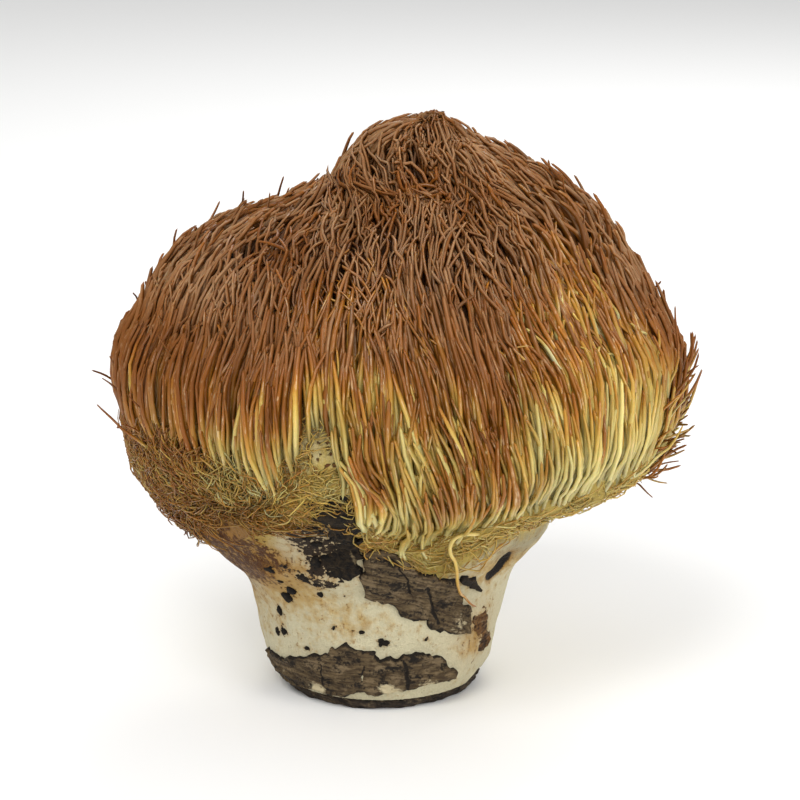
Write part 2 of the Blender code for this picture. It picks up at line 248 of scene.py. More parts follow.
class Skin:
    """The surface of the flesh, and a chart of it by turn and distance from the rim.

    At each height the skin is an ellipse as wide as the outline, drawn in by an inset: the depth of the
    spines above the rim, the parting at the front, the sunk shoulders, and lumps.
    """

    foot = 3.5 * MM
    peak = np.array((16.5 * MM, 0, 181 * MM))
    columns = 720
    samples = 640
    levels = 182
    step = 1 * MM
    below = 90 * MM
    above = 250 * MM
    spine_depth = 5.2 * MM
    depth_ramp = 12 * MM
    lump_height = 1.6 * MM
    lump_size = 34 * MM
    most_inset = 0.6
    narrowest = 7 * MM
    peak_sink = 2.0 * MM
    shoulder_sink = 4.2 * MM
    parting_turn = 259
    parting_width = 9
    parting_depth = 4.5 * MM

    def __init__(self) -> None:
        """Samples every meridian, and reads it again at even distances from the rim.

        Beyond the peak a meridian goes on inwards and a little down, under the other side.
        """
        turns = np.linspace(0, FULL_TURN, self.columns, endpoint=False)[:, None]
        share = np.linspace(0, 1, self.samples)[None]
        share = 0.5 * share + 0.5 * np.sin(share * math.pi / 2)
        heights = self.foot + (self.peak[2] - self.foot) * share + 0 * turns
        lines = self.point(turns + 0 * heights, heights)
        lines[:, -1] = self.peak
        steps = np.linalg.norm(np.diff(lines, axis=1), axis=-1)
        lengths = np.concatenate((np.zeros((self.columns, 1)), np.cumsum(steps, axis=1)), axis=1)
        apart = 10.0 * np.arange(self.columns)[:, None]
        height_keys, length_keys = (heights + apart).ravel(), (lengths + apart).ravel()
        at_rim = np.interp(self.rim(turns) + apart, height_keys, lengths.ravel())
        self.turns = turns[:, 0]
        self.total = lengths[:, -1] - at_rim[:, 0]
        self.lowest = -at_rim[:, 0]
        distances = np.arange(-self.below, self.above, self.step)[None]
        wanted = np.clip(distances + at_rim, 0, lengths[:, -1:]) + apart
        grid = [np.interp(wanted, length_keys, lines[..., axis].ravel()) for axis in range(3)]
        left = self.total[:, None] - distances
        inwards = np.stack((-np.cos(turns), -np.sin(turns), 0 * turns - 0.25), axis=-1)
        self.points = np.stack(grid, axis=-1) + inwards * np.maximum(-left, 0)[..., None]
        self.points[..., 2] -= self.peak_sink * smooth_step(26 * MM, 4 * MM, left)
        across = (np.roll(self.points, -1, axis=0) - np.roll(self.points, 1, axis=0)) / 2
        upwards = np.gradient(self.points, axis=1)
        self.normals = unit(np.cross(across, upwards) + 2e-8 * UP)
        self.radii = np.linalg.norm(across, axis=-1) / (FULL_TURN / self.columns)
        at_peak = smooth_step(14 * MM, 3 * MM, left)[..., None]
        self.flow = self._flow(unit(across), unit(upwards), at_peak)
        levels = np.clip(np.arange(self.levels) * MM + 0 * turns, heights[:, :1], heights[:, -1:])
        self.rises = np.interp(levels + apart, height_keys, lengths.ravel()) - at_rim

    def rim(self, turn: Array) -> Array:
        """Height of the rim at a turn in radians."""
        return RIM_HEIGHT.value(degrees_of(turn)) * MM

    def point(self, turn: Array, height: Array) -> Array:
        """A point of the flesh: the outline's ellipse less the inset.

        Args:
            turn: Radians about Z.
            height: Metres over the cut face.

        Returns:
            Places in metres.
        """
        reach = OUTLINE.at(height / MM) * MM
        half = (reach[..., 1] - reach[..., 0]) / 2
        middle = (reach[..., 1] + reach[..., 0]) / 2
        away = height - self.rim(turn)
        parting = bell(degrees_of(turn) - self.parting_turn, self.parting_width)
        parting = parting * smooth_step(-8 * MM, 8 * MM, away) * smooth_step(118 * MM, 80 * MM, height)
        shoulder = smooth_step(106 * MM, 122 * MM, height) * smooth_step(164 * MM, 146 * MM, height)
        about = np.stack((np.cos(turn) * half, np.sin(turn) * half, height + 0 * half), axis=-1)
        fade = smooth_step(self.foot, 24 * MM, height) * smooth_step(0, 20 * MM, half)
        inset = (
            self.spine_depth * smooth_step(0, self.depth_ramp, away)
            + self.parting_depth * parting
            + self.shoulder_sink * (1 - 0.3 * np.cos(turn)) * shoulder
            + self.lump_height * noise(about / self.lump_size, 3) * fade
        )
        inset = np.minimum(inset, half * self.most_inset)
        across = middle + (half - inset) * np.cos(turn)
        back = (half * DEPTH.value(height / MM) - inset) * np.sin(turn)
        return np.stack((across, back, height + 0 * across), axis=-1)

    def _flow(self, across: Array, upwards: Array, at_peak: Array) -> Array:
        """How to step straight up the slope, and square to it, in the chart.

        Up the slope is the vertical less its part out of the skin. Square to it is that crossed with the
        normal. Both are split into a part along the meridian and a part across it.

        Args:
            across: Unit vectors to the next meridian.
            upwards: Unit vectors along the meridian.
            at_peak: How much of the meridian's own way to take instead.

        Returns:
            Steps along and across for a step up, then along and across for a step aside.
        """
        vertical = UP - self.normals * self.normals[..., 2:]
        climb = unit(unit(vertical + 0.2 * upwards) * (1 - at_peak) + upwards * at_peak)
        skew = (across * upwards).sum(-1)
        steps = []
        for way in (climb, np.cross(climb, self.normals)):
            by_up, by_across = (way * upwards).sum(-1), (way * across).sum(-1)
            steps += [by_up - skew * by_across, by_across - skew * by_up]
        return np.stack(steps, -1) / np.maximum(1 - skew**2, 0.2)[..., None]

    def climb(self, turn: Array, start: Array, swing: Array, pace: Array) -> tuple[Array, Array]:
        """Walks up the slope from each root, one pace from each place of a strand to the next.

        Args:
            turn: Turn of each root in radians.
            start: Distance of each root from the rim.
            swing: Angle from straight up the slope, for each pace, in radians.
            pace: Length of each pace of each strand.

        Returns:
            Turns and distances of every place, the root first.
        """
        turns, distances = [turn], [start]
        for ahead, aside, stride in zip(np.cos(swing).T, np.sin(swing).T, pace.T):
            flow = self._read(self.flow, turn, (start + self.below) / self.step)
            along = ahead * flow[:, 0] + aside * flow[:, 2]
            over = ahead * flow[:, 1] + aside * flow[:, 3]
            turn = turn + stride * over / np.maximum(self.radius(turn, start), self.narrowest)
            start = start + stride * along
            turns.append(turn)
            distances.append(start)
        return np.stack(turns, -1), np.stack(distances, -1)

    def _read(self, table: Array, turn: Array, place: Array) -> Array:
        """Reads a table of the chart between its entries, straight across and along.

        Args:
            table: One entry for each column and each step, with or without a last axis.
            turn: Radians about Z.
            place: Steps from the first entry of a column.

        Returns:
            The values there.
        """
        column = np.mod(turn / FULL_TURN, 1) * self.columns
        left = np.floor(column).astype(int) % self.columns
        right = (left + 1) % self.columns
        place = np.clip(place, 0, table.shape[1] - 1.001)
        low = np.floor(place).astype(int)
        over, along = column - np.floor(column), place - low
        if table.ndim == 3:
            over, along = over[..., None], along[..., None]
        lower = table[left, low] * (1 - over) + table[right, low] * over
        upper = table[left, low + 1] * (1 - over) + table[right, low + 1] * over
        return lower * (1 - along) + upper * along

    def at(self, turn: Array, distance: Array) -> tuple[Array, Array]:
        """Places of the skin at a distance from the rim, and the unit vectors out of it there."""
        place = (distance + self.below) / self.step
        return self._read(self.points, turn, place), unit(self._read(self.normals, turn, place))

    def radius(self, turn: Array, distance: Array) -> Array:
        """Metres along the skin for each radian of turn."""
        return self._read(self.radii, turn, (distance + self.below) / self.step)

    def distance(self, turn: Array, height: Array) -> Array:
        """Distance from the rim of a height over the cut face."""
        return self._read(self.rises, turn, height / MM)

    def length(self, turn: Array) -> Array:
        """Distance from the rim to the peak."""
        return np.interp(turn, self.turns, self.total, period=FULL_TURN)

    def bottom(self, turn: Array) -> Array:
        """Distance from the rim to the foot, which is negative."""
        return np.interp(turn, self.turns, self.lowest, period=FULL_TURN)


class Wire:
    """A number socket of a material's nodes. Python's operators on it add Math nodes."""

    def __init__(self, made: "Material", socket: bpy.types.NodeSocket) -> None:
        """Keeps the socket and the material that it is in."""
        self.made = made
        self.socket = socket

    def _math(self, operation: str, first: "Wire | float", second: "Wire | float") -> "Wire":
        """A Math node on two numbers."""
        return self.made.node("Math", {0: first, 1: second}, operation=operation)

    def __add__(self, other: "Wire | float") -> "Wire":
        """Self plus other."""
        return self._math("ADD", self, other)

    def __sub__(self, other: "Wire | float") -> "Wire":
        """Self less other."""
        return self._math("SUBTRACT", self, other)

    def __rsub__(self, other: float) -> "Wire":
        """Other less self."""
        return self._math("SUBTRACT", other, self)

    def __mul__(self, other: "Wire | float") -> "Wire":
        """Self times other."""
        return self._math("MULTIPLY", self, other)

    __radd__ = __add__
    __rmul__ = __mul__

    def step(self, low: float, high: float) -> "Wire":
        """Rises smoothly from 0 at low to 1 at high, which may be the smaller one."""
        sockets = {"Value": self, "From Min": low, "From Max": high}
        return self.made.node("MapRange", sockets, "Result", interpolation_type="SMOOTHSTEP")


def linear(colour: Colour) -> tuple[float, float, float, float]:
    """A colour of a picture, from 0 to 255, as the linear values that a shader takes."""
    shares = [part / 255 for part in colour]
    return *(s / 12.92 if s <= 0.04045 else ((s + 0.055) / 1.055) ** 2.4 for s in shares), 1.0


class Material:
    """A material in the making: one Principled shader, its colour so far, and the nodes behind them."""

    def __init__(self, name: str, base: Colour = (0, 0, 0), **constants: object) -> None:
        """Starts the material.

        Args:
            name: The material's name.
            base: The colour that others are painted over.
            constants: Values of the shader's own sockets, with _ for a space.
        """
        self.material = bpy.data.materials.new(name)
        self.material.use_nodes = True
        self.tree = self.material.node_tree
        self.shader = self.tree.nodes["Principled BSDF"]
        self.colour: object = linear(base)
        for socket, value in constants.items():
            self.shader.inputs[socket.replace("_", " ")].default_value = value

    def node(
        self, kind: str, sockets: dict[int | str, object], output: int | str = 0, **settings: object
    ) -> Wire:
        """Adds a node.

        Args:
            kind: Blender's type of the node, without ShaderNode.
            sockets: Wires or constants for its inputs.
            output: Which of its outputs to return.
            settings: Its properties, which are set first.

        Returns:
            The output.
        """
        made = self.tree.nodes.new("ShaderNode" + kind)
        for name, value in settings.items():
            setattr(made, name, value)
        for name, value in sockets.items():
            if isinstance(value, Wire):
                self.tree.links.new(value.socket, made.inputs[name])
            else:
                made.inputs[name].default_value = value
        return Wire(self, made.outputs[output])

    def place(self) -> Wire:
        """Object coordinates, which are the places in the row frame."""
        return self.node("TexCoord", {}, "Object")

    def attribute(self, name: str) -> Wire:
        """The number that the mesh holds under this name."""
        return self.node("Attribute", {}, "Fac", attribute_name=name)

    def speckle(self, where: Wire, size: float, detail: float, roughness: float = 0.6) -> Wire:
        """Noise about 0 over a place, in lumps of a size with so many finer layers."""
        sockets = {"Vector": where, "Scale": 1 / size, "Detail": detail, "Roughness": roughness}
        return self.node("TexNoise", sockets, "Fac") - 0.5

    def noise(self, size: float, detail: float, stretch: tuple[float, ...] = (1, 1, 1)) -> Wire:
        """Noise about 0 over the object, in metres, its lumps made longer along each axis."""
        sockets = {"Vector": self.place(), "Scale": tuple(1 / part for part in stretch)}
        return self.speckle(self.node("Mapping", sockets), size, detail)

    def fibres(self, size: float, ratio: float) -> Wire:
        """Noise about 0 over the attributes across and along, so many times longer along."""
        sockets = {"X": self.attribute("across"), "Y": self.attribute("along") * (1 / ratio)}
        return self.speckle(self.node("CombineXYZ", sockets), size, 4, 0.65)

    def ramp(self, value: Wire, stops: tuple[tuple[float, Colour], ...]) -> None:
        """Takes the colour from a run of colours.

        Args:
            value: Where along it, from 0 to 1.
            stops: Places and their colours.
        """
        run = self.node("ValToRGB", {"Fac": value}, "Color")
        elements = run.socket.node.color_ramp.elements
        while len(elements) < len(stops):
            elements.new(0.5)
        for element, (position, colour) in zip(elements, stops):
            element.position = position
            element.color = linear(colour)
        self.colour = run

    def paint(self, share: Wire, over: Colour, how: str = "MIX") -> None:
        """Lays a share of a colour over the colour so far, in one of Blender's ways to mix."""
        sockets = {0: share, 6: self.colour, 7: linear(over)}
        self.colour = self.node("Mix", sockets, 2, data_type="RGBA", blend_type=how, clamp_factor=True)

    def brighten(self, brightness: Wire) -> None:
        """Multiplies the colour by a brightness, which may be over 1."""
        self.colour = self.node("VectorMath", {0: self.colour, "Scale": brightness}, operation="SCALE")

    def finish(self, relief: Wire, depth: float, **wires: Wire) -> bpy.types.Material:
        """Links the colour, the relief and other wires to the shader.

        Args:
            relief: Height of the surface.
            depth: How many metres a relief of 1 is.
            wires: What feeds other sockets, named with _ for a space.

        Returns:
            The finished material.
        """
        bump = self.node("Bump", {"Height": relief, "Distance": depth, "Strength": 1.0})
        for socket, wire in {"Base Color": self.colour, "Normal": bump, **wires}.items():
            self.tree.links.new(wire.socket, self.shader.inputs[socket.replace("_", " ")])
        return self.material


@dataclass(frozen=True)
class SpineFinish:
    """The waxy skin of the spines, from cream roots through yellow and amber to brown tips, with painted
    light and shade: lighter outer sides, darker sides, painted glints, and painted shade where strands lie
    low.
    """

    name: str = "spine_wax"
    tones: tuple[tuple[float, Colour], ...] = (
        (0.0, (216, 206, 152)), (0.1, (214, 199, 126)), (0.22, (200, 168, 82)), (0.36, (180, 130, 46)),
        (0.5, (156, 98, 26)), (0.64, (132, 76, 17)), (0.8, (116, 65, 14)), (1.0, (118, 71, 24)),
    )
    taupe: Colour = (144, 108, 74)
    # A pale colour for the painted highlights: glints along the strands.
    painted_sheen: Colour = (232, 208, 166)
    # A painted shadow colour, multiplied into strands that lie low.
    shadow: Colour = (60, 28, 8)

    def material(self) -> bpy.types.Material:
        """Makes the material.

        Returns:
            A material that reads the attributes tone, taupe, depth, shade, run, outer and beside.
        """
        made = Material(
            self.name, Coat_Roughness=0.14, Specular_IOR_Level=0.2, Subsurface_Weight=0.2,
            Subsurface_Radius=(1.0, 0.5, 0.2), Subsurface_Scale=1.2 * MM,
        )
        mottle = made.noise(2.2 * MM, 3)
        outer, depth = made.attribute("outer"), made.attribute("depth")
        sockets = {"X": outer, "Y": made.attribute("beside"), "Z": made.attribute("run")}
        fine = made.speckle(made.node("CombineXYZ", sockets), 1 / 1.5, 3)
        tone = made.attribute("tone") + mottle * 0.14 + fine * 0.2
        made.ramp(tone, self.tones)
        # The crown's own taupe is laid only on the outer side of each strand, so it also paints a pale
        # highlight along the strand's middle.
        made.paint(made.attribute("taupe") * outer.step(-0.4, 0.8), self.taupe)
        # Painted shade: the depth attribute darkens the strands that lie low among the others.
        made.paint(depth * 0.6, self.shadow, "MULTIPLY")
        # Painted highlight: short pale glints along the outer side of the strands, strongest on the yellow
        # and amber ones, and none where they lie low.
        painted_sheen = outer.step(0.1, 0.9) * (fine + mottle * 0.6).step(0.07, 0.17)
        made.paint(painted_sheen * (tone.step(0.85, 0.45) * 0.34 + 0.12) * (1 - depth), self.painted_sheen)
        # Painted light and shade: each strand is lighter on its outer side and darker on its sides and
        # underside, on top of the shade attribute.
        made.brighten(made.attribute("shade") + fine * 0.5 + outer * 0.16 - 0.11)
        rough = tone.step(0.45, 0.85) * 0.24 + 0.3 + mottle * 0.16
        return made.finish(fine, 0.16 * MM, Roughness=rough, Coat_Weight=tone.step(0.95, 0.5) * 0.32)


@dataclass(frozen=True)
class FleshFinish:
    """The matt flesh of the stalk and the underside, with its stains and its yellow rim, and painted shade
    where it shows between the spines, in its pits and in its slit.
    """

    name: str = "stalk_flesh"
    pale: Colour = (206, 197, 164)
    warm: Colour = (192, 160, 98)
    cool: Colour = (164, 154, 122)
    tan: Colour = (172, 144, 98)
    rim: Colour = (186, 162, 84)
    lobe: Colour = (134, 98, 50)
    brown: Colour = (154, 108, 40)
    stain: Colour = (78, 43, 10)
    # A painted shade colour for the flesh that shows between the spines.
    dark: Colour = (76, 44, 18)
    pit_shade: Colour = (104, 66, 34)
    smut: Colour = (44, 32, 20)
    # The black painted into the middle of the slit, as its shade.
    black: Colour = (22, 15, 11)

    def material(self) -> bpy.types.Material:
        """Makes the material.

        Returns:
            A material that reads the attributes that Flesh.build makes.
        """
        made = Material(self.name, self.pale, Specular_IOR_Level=0.2)
        broad, middle, fine = made.noise(9 * MM, 5), made.noise(3.6 * MM, 4), made.noise(1.3 * MM, 4)
        grain, streaks = made.noise(0.45 * MM, 2), made.noise(1.6 * MM, 4, (1, 1, 4))
        blush, stain = made.attribute("blush"), made.attribute("stain")
        made.paint((blush + broad * 0.9 + middle * 1.3).step(0.15, 0.8), self.warm)
        made.paint((made.attribute("cool") + middle * 0.9).step(0.25, 0.85), self.cool)
        made.paint((middle * 1.2 + streaks * 0.8 + blush * 0.25).step(0.1, 0.42) * 0.65, self.tan)
        made.paint((made.attribute("yellow") + streaks * 0.7).step(0.15, 0.8), self.rim)
        made.paint((made.attribute("lobe") + streaks * 0.6).step(0.2, 0.8), self.lobe)
        made.paint(stain * 0.85, self.brown)
        made.paint((stain * 0.8 + streaks * 2.2 + fine * 1.4).step(0.4, 0.85), self.stain)
        made.paint((fine * 1.1 + middle * 0.6 + blush * 0.14).step(0.15, 0.33) * 0.55, self.stain)
        halo = made.attribute("halo") + fine * 2.6 + middle * 1.2
        made.paint(halo.step(0.2, 0.9) * 0.5, self.brown)
        made.paint(halo.step(0.72, 0.84), self.smut)
        # Painted shade: the pits on the bald patch are only a bump, and are coloured a dark brown that
        # stands for the shade in them.
        pits = made.node("TexVoronoi", {"Vector": made.place(), "Scale": 1 / (2.0 * MM)}, "Distance")
        pitted = (pits + fine * 0.9 + middle * 0.6).step(0.4, 0.24) * made.attribute("bald").step(0.1, 0.5)
        made.paint(pitted, self.pit_shade)
        # Painted shade: the flesh above the rim, between the spines, is darkened.
        made.paint(made.attribute("under"), self.dark)
        slit = made.attribute("slit") + grain * 0.15
        made.paint(slit.step(0.22, 0.4) * 0.6, self.brown)
        # Painted shade: the middle of the slit, a sunk groove, is black.
        made.paint(slit.step(0.38, 0.46), self.black)
        made.brighten(0.9 + grain * 0.3 + fine * 0.3)
        relief = fine * 1.3 + streaks * 1.2 + grain * 0.4 + middle - pitted * 2.0
        return made.finish(relief, 0.6 * MM, Roughness=0.62 + fine * 0.3)


@dataclass(frozen=True)
class BarkFinish:
    """Weathered bark: grey-brown fibres, dark in patches, with painted shade along its sunk edges and in
    its cracks, dusted with pale threads.
    """

    name: str
    face: Colour = (100, 84, 60)
    streak: Colour = (64, 51, 36)
    # Dark bark for patches, and the painted shade of the edges and cracks.
    broken: Colour = (32, 27, 22)
    dust: Colour = (190, 176, 142)
    worn: Colour = (128, 110, 84)
    fibre: float = 0.9 * MM
    ratio: float = 5.0

    def material(self) -> bpy.types.Material:
        """Makes the material.

        Returns:
            A material that reads the attributes across, along, edge and dust.
        """
        made = Material(self.name, self.streak, Specular_IOR_Level=0.15)
        fibres = made.fibres(self.fibre, self.ratio)
        coarse = made.fibres(self.fibre * 4, self.ratio * 0.5)
        specks = made.noise(1.1 * MM, 4)
        made.paint(fibres.step(-0.12, 0.12), self.face)
        made.paint((made.noise(5 * MM, 4) + fibres * 0.5).step(0, 0.16) * 0.55, self.worn)
        made.paint((coarse + specks * 0.6).step(0.02, -0.14), self.broken)
        # Painted shade: the edge attribute darkens each plate along its sunk border, in its cracks and on
        # its lowest flakes. The slab and the crumbs give it a fixed share.
        made.paint((made.attribute("edge") + specks * 1.1).step(0.4, 0.8), self.broken)
        made.paint((made.attribute("dust") + specks + fibres * 0.4).step(0.35, 0.7), self.dust)
        relief = fibres * 1.2 + coarse * 1.5 + specks * 0.6
        return made.finish(relief, 0.5 * MM, Roughness=0.74 + fibres * 0.3)


def add_object(name: str, data: bpy.types.ID) -> bpy.types.Object:
    """Puts an object with this data into the scene.

    Args:
        name: Its name.
        data: Its mesh, light or camera.

    Returns:
        The object, at the origin.
    """
    made = bpy.data.objects.new(name, data)
    bpy.context.scene.collection.objects.link(made)
    return made


def mesh_piece(
    name: str, points: Array, faces: Faces, looks: dict[str, Array], maps: list[Array] | None = None
) -> bpy.types.Object:
    """Puts whole arrays into a mesh and its object into the scene.

    Args:
        name: The piece's name.
        points: Its vertices in metres.
        faces: The vertices of each face, in one array for each kind of face.
        looks: Numbers for each vertex, by name.
        maps: The places of the corners on the baked map, in the order of the faces.

    Returns:
        The object, at the origin.
    """
    sizes = np.concatenate([np.full(len(part), part.shape[1]) for part in faces])
    corners = np.concatenate([part.ravel() for part in faces])
    mesh = bpy.data.meshes.new(name)
    mesh.vertices.add(len(points))
    mesh.vertices.foreach_set("co", points.astype(np.float32).ravel())
    mesh.loops.add(len(corners))
    mesh.loops.foreach_set("vertex_index", corners.astype(np.int32))
    mesh.polygons.add(len(sizes))
    mesh.polygons.foreach_set("loop_start", (np.cumsum(sizes) - sizes).astype(np.int32))
    mesh.polygons.foreach_set("use_smooth", np.ones(len(sizes), bool))
    for key, values in looks.items():
        layer = mesh.attributes.new(key, "FLOAT", "POINT")
        layer.data.foreach_set("value", values.astype(np.float32).ravel())
    if maps is not None:
        layer = mesh.uv_layers.new(name="OFBake")
        layer.uv.foreach_set("vector", np.concatenate([part.ravel() for part in maps]).astype(np.float32))
    mesh.update(calc_edges=True)
    mesh.validate()
    return add_object(name, mesh)


def dress(
    piece: bpy.types.Object, material: bpy.types.Material, nodes: tuple[str, ...] = ()
) -> None:
    """Gives a piece its material and its place in the frame.

    Args:
        piece: The finished object.
        material: Its material.
        nodes: The solids that it stands for.
    """
    piece.data.materials.append(material)
    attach(piece, "root")
    if nodes:
        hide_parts(*nodes)
    LOG.info("%s: %d faces", piece.name, len(piece.data.polygons))


def closed_rings(rows: int, columns: int) -> Faces:
    """The faces over rings of vertices, listed from the lowest ring up, then an end under and one over.

    Args:
        rows: How many rings there are.
        columns: How many vertices each one has.

    Returns:
        The walls, the fan under them and the fan over them.
    """
    ring = np.arange(rows * columns).reshape(rows, columns)
    after = np.roll(ring, -1, axis=1)
    end = np.full(columns, rows * columns)
    walls = np.stack((ring[:-1], after[:-1], after[1:], ring[1:]), -1).reshape(-1, 4)
    return [walls, np.stack((after[0], ring[0], end), -1), np.stack((ring[-1], after[-1], end + 1), -1)]


def repeated(faces: Faces, count: int, each: int) -> Faces:
    """The same faces on each of a count of equal sets of vertices, which have so many each."""
    shift = np.arange(count)[:, None, None] * each
    return [(part + shift).reshape(-1, part.shape[1]) for part in faces]


def blot_sum(rows: Rows, degree: Array, level: Array) -> Array:
    """Adds up soft blots, each one a bell across the turn times a bell up the height.

    Args:
        rows: Turn in degrees, height in mm, half width of each, and strength.
        degree: Turns in degrees.
        level: Heights in mm.

    Returns:
        Their sum.
    """
    total = 0 * degree
    for turn, height, wide, tall, strength in rows:
        off = (degree - turn + 180) % 360 - 180
        total = total + strength * bell(off, wide) * bell(level - height, tall)
    return total


@dataclass
class Tubes:
    """Many thin closed tubes in one mesh.

    Each is a ring of points at every place of its path, square to the path there: the place plus the
    radius times the cosine and the sine of the ring's angles along two unit vectors. The last place is
    the tip, where the ring is one point, and a flat face closes the root. The twist, a share of a turn,
    brings the first point of each ring to the outside of the skin.
    """

    paths: Array
    radii: Array
    facing: Array
    sides: int = 4
    twist: float = 0.25

    def angles(self) -> Array:
        """The angle of each point of a ring."""
        return FULL_TURN * (np.arange(self.sides) / self.sides + self.twist)

    def points(self) -> Array:
        """The vertices of every tube.

        Returns:
            One row of places for each tube: its rings from the root up, then its tip.
        """
        along = unit(np.gradient(self.paths, axis=1))
        side = unit(np.cross(along, self.facing[:, None]))
        lift = np.cross(side, along)
        cosine, sine = np.cos(self.angles())[:, None], np.sin(self.angles())[:, None]
        ring = side[:, :-1, None] * cosine + lift[:, :-1, None] * sine
        body = self.paths[:, :-1, None] + ring * self.radii[:, :-1, None, None]
        return np.concatenate((body.reshape(len(self.paths), -1, 3), self.paths[:, -1:]), axis=1)

    def template(self) -> tuple[Faces, list[Array]]:
        """The faces of one tube, and where their corners go on its own piece of the map.

        Returns:
            The walls, the fan at the tip and the root's face, and their places from 0 to 1.
        """
        rings, sides = self.paths.shape[1] - 1, self.sides
        ring = np.arange(rings * sides).reshape(rings, sides)
        after = np.roll(ring, -1, axis=1)
        walls = np.stack((ring[:-1], ring[1:], after[1:], after[:-1]), -1).reshape(-1, 4)
        tips = np.stack((ring[-1], np.full(sides, rings * sides), after[-1]), -1)
        near, low = np.meshgrid(np.arange(sides) / sides, np.arange(rings) / rings)
        far, high = near + 1 / sides, low + 1 / rings
        wall_map = np.stack((near, low, near, high, far, high, far, low), -1)[:-1]
        tip_map = np.stack((near, low, (near + far) / 2, 0 * low + 1, far, low), -1)[-1]
        angles = FULL_TURN * near[0]
        root_map = np.stack((0.5 + 0.4 * np.cos(angles), -0.09 + 0.04 * np.sin(angles)), -1)
        maps = [part.reshape(-1, 2) * 0.8 + (0.1, 0.16) for part in (wall_map, tip_map, root_map)]
        return [walls, tips, ring[:1]], maps

    def piece(self, name: str, looks: dict[str, Array]) -> bpy.types.Object:
        """Makes the mesh of all the tubes.

        Args:
            name: The piece's name.
            looks: Numbers for each place of each path, by name.

        Returns:
            The object.
        """
        points = self.points()
        count, each = points.shape[:2]
        faces, maps = self.template()
        columns = max(1, int(math.sqrt(count * 4)))
        cell = np.stack((np.arange(count) % columns, np.arange(count) // columns), -1)[:, None]
        maps = [(part + cell) / (columns, -(-count // columns)) for part in maps]
        spread = {
            key: np.concatenate((np.repeat(values[:, :-1], self.sides, axis=1), values[:, -1:]), axis=1)
            for key, values in looks.items()
        }
        for key, values in (("outer", np.sin(self.angles())), ("beside", np.cos(self.angles()))):
            spread[key] = np.tile(np.append(np.tile(values, self.paths.shape[1] - 1), 0), count)
        return mesh_piece(name, points.reshape(-1, 3), repeated(faces, count, each), spread, maps)


class Zone(Enum):
    """The kinds of spines."""

    RIM = "rim"
    CROWN = "crown"
    LOBE = "lobe"
    FRINGE = "fringe"


class Edge(Enum):
    """The lines round the head that the bands of roots start and end at."""

    RIM = "rim"
    TIER = "tier"
    PEAK = "peak"
    LOBE = "lobe"
    LOBE_TOP = "lobe_top"
    COLLAR = "collar"
    COLLAR_TOP = "collar_top"


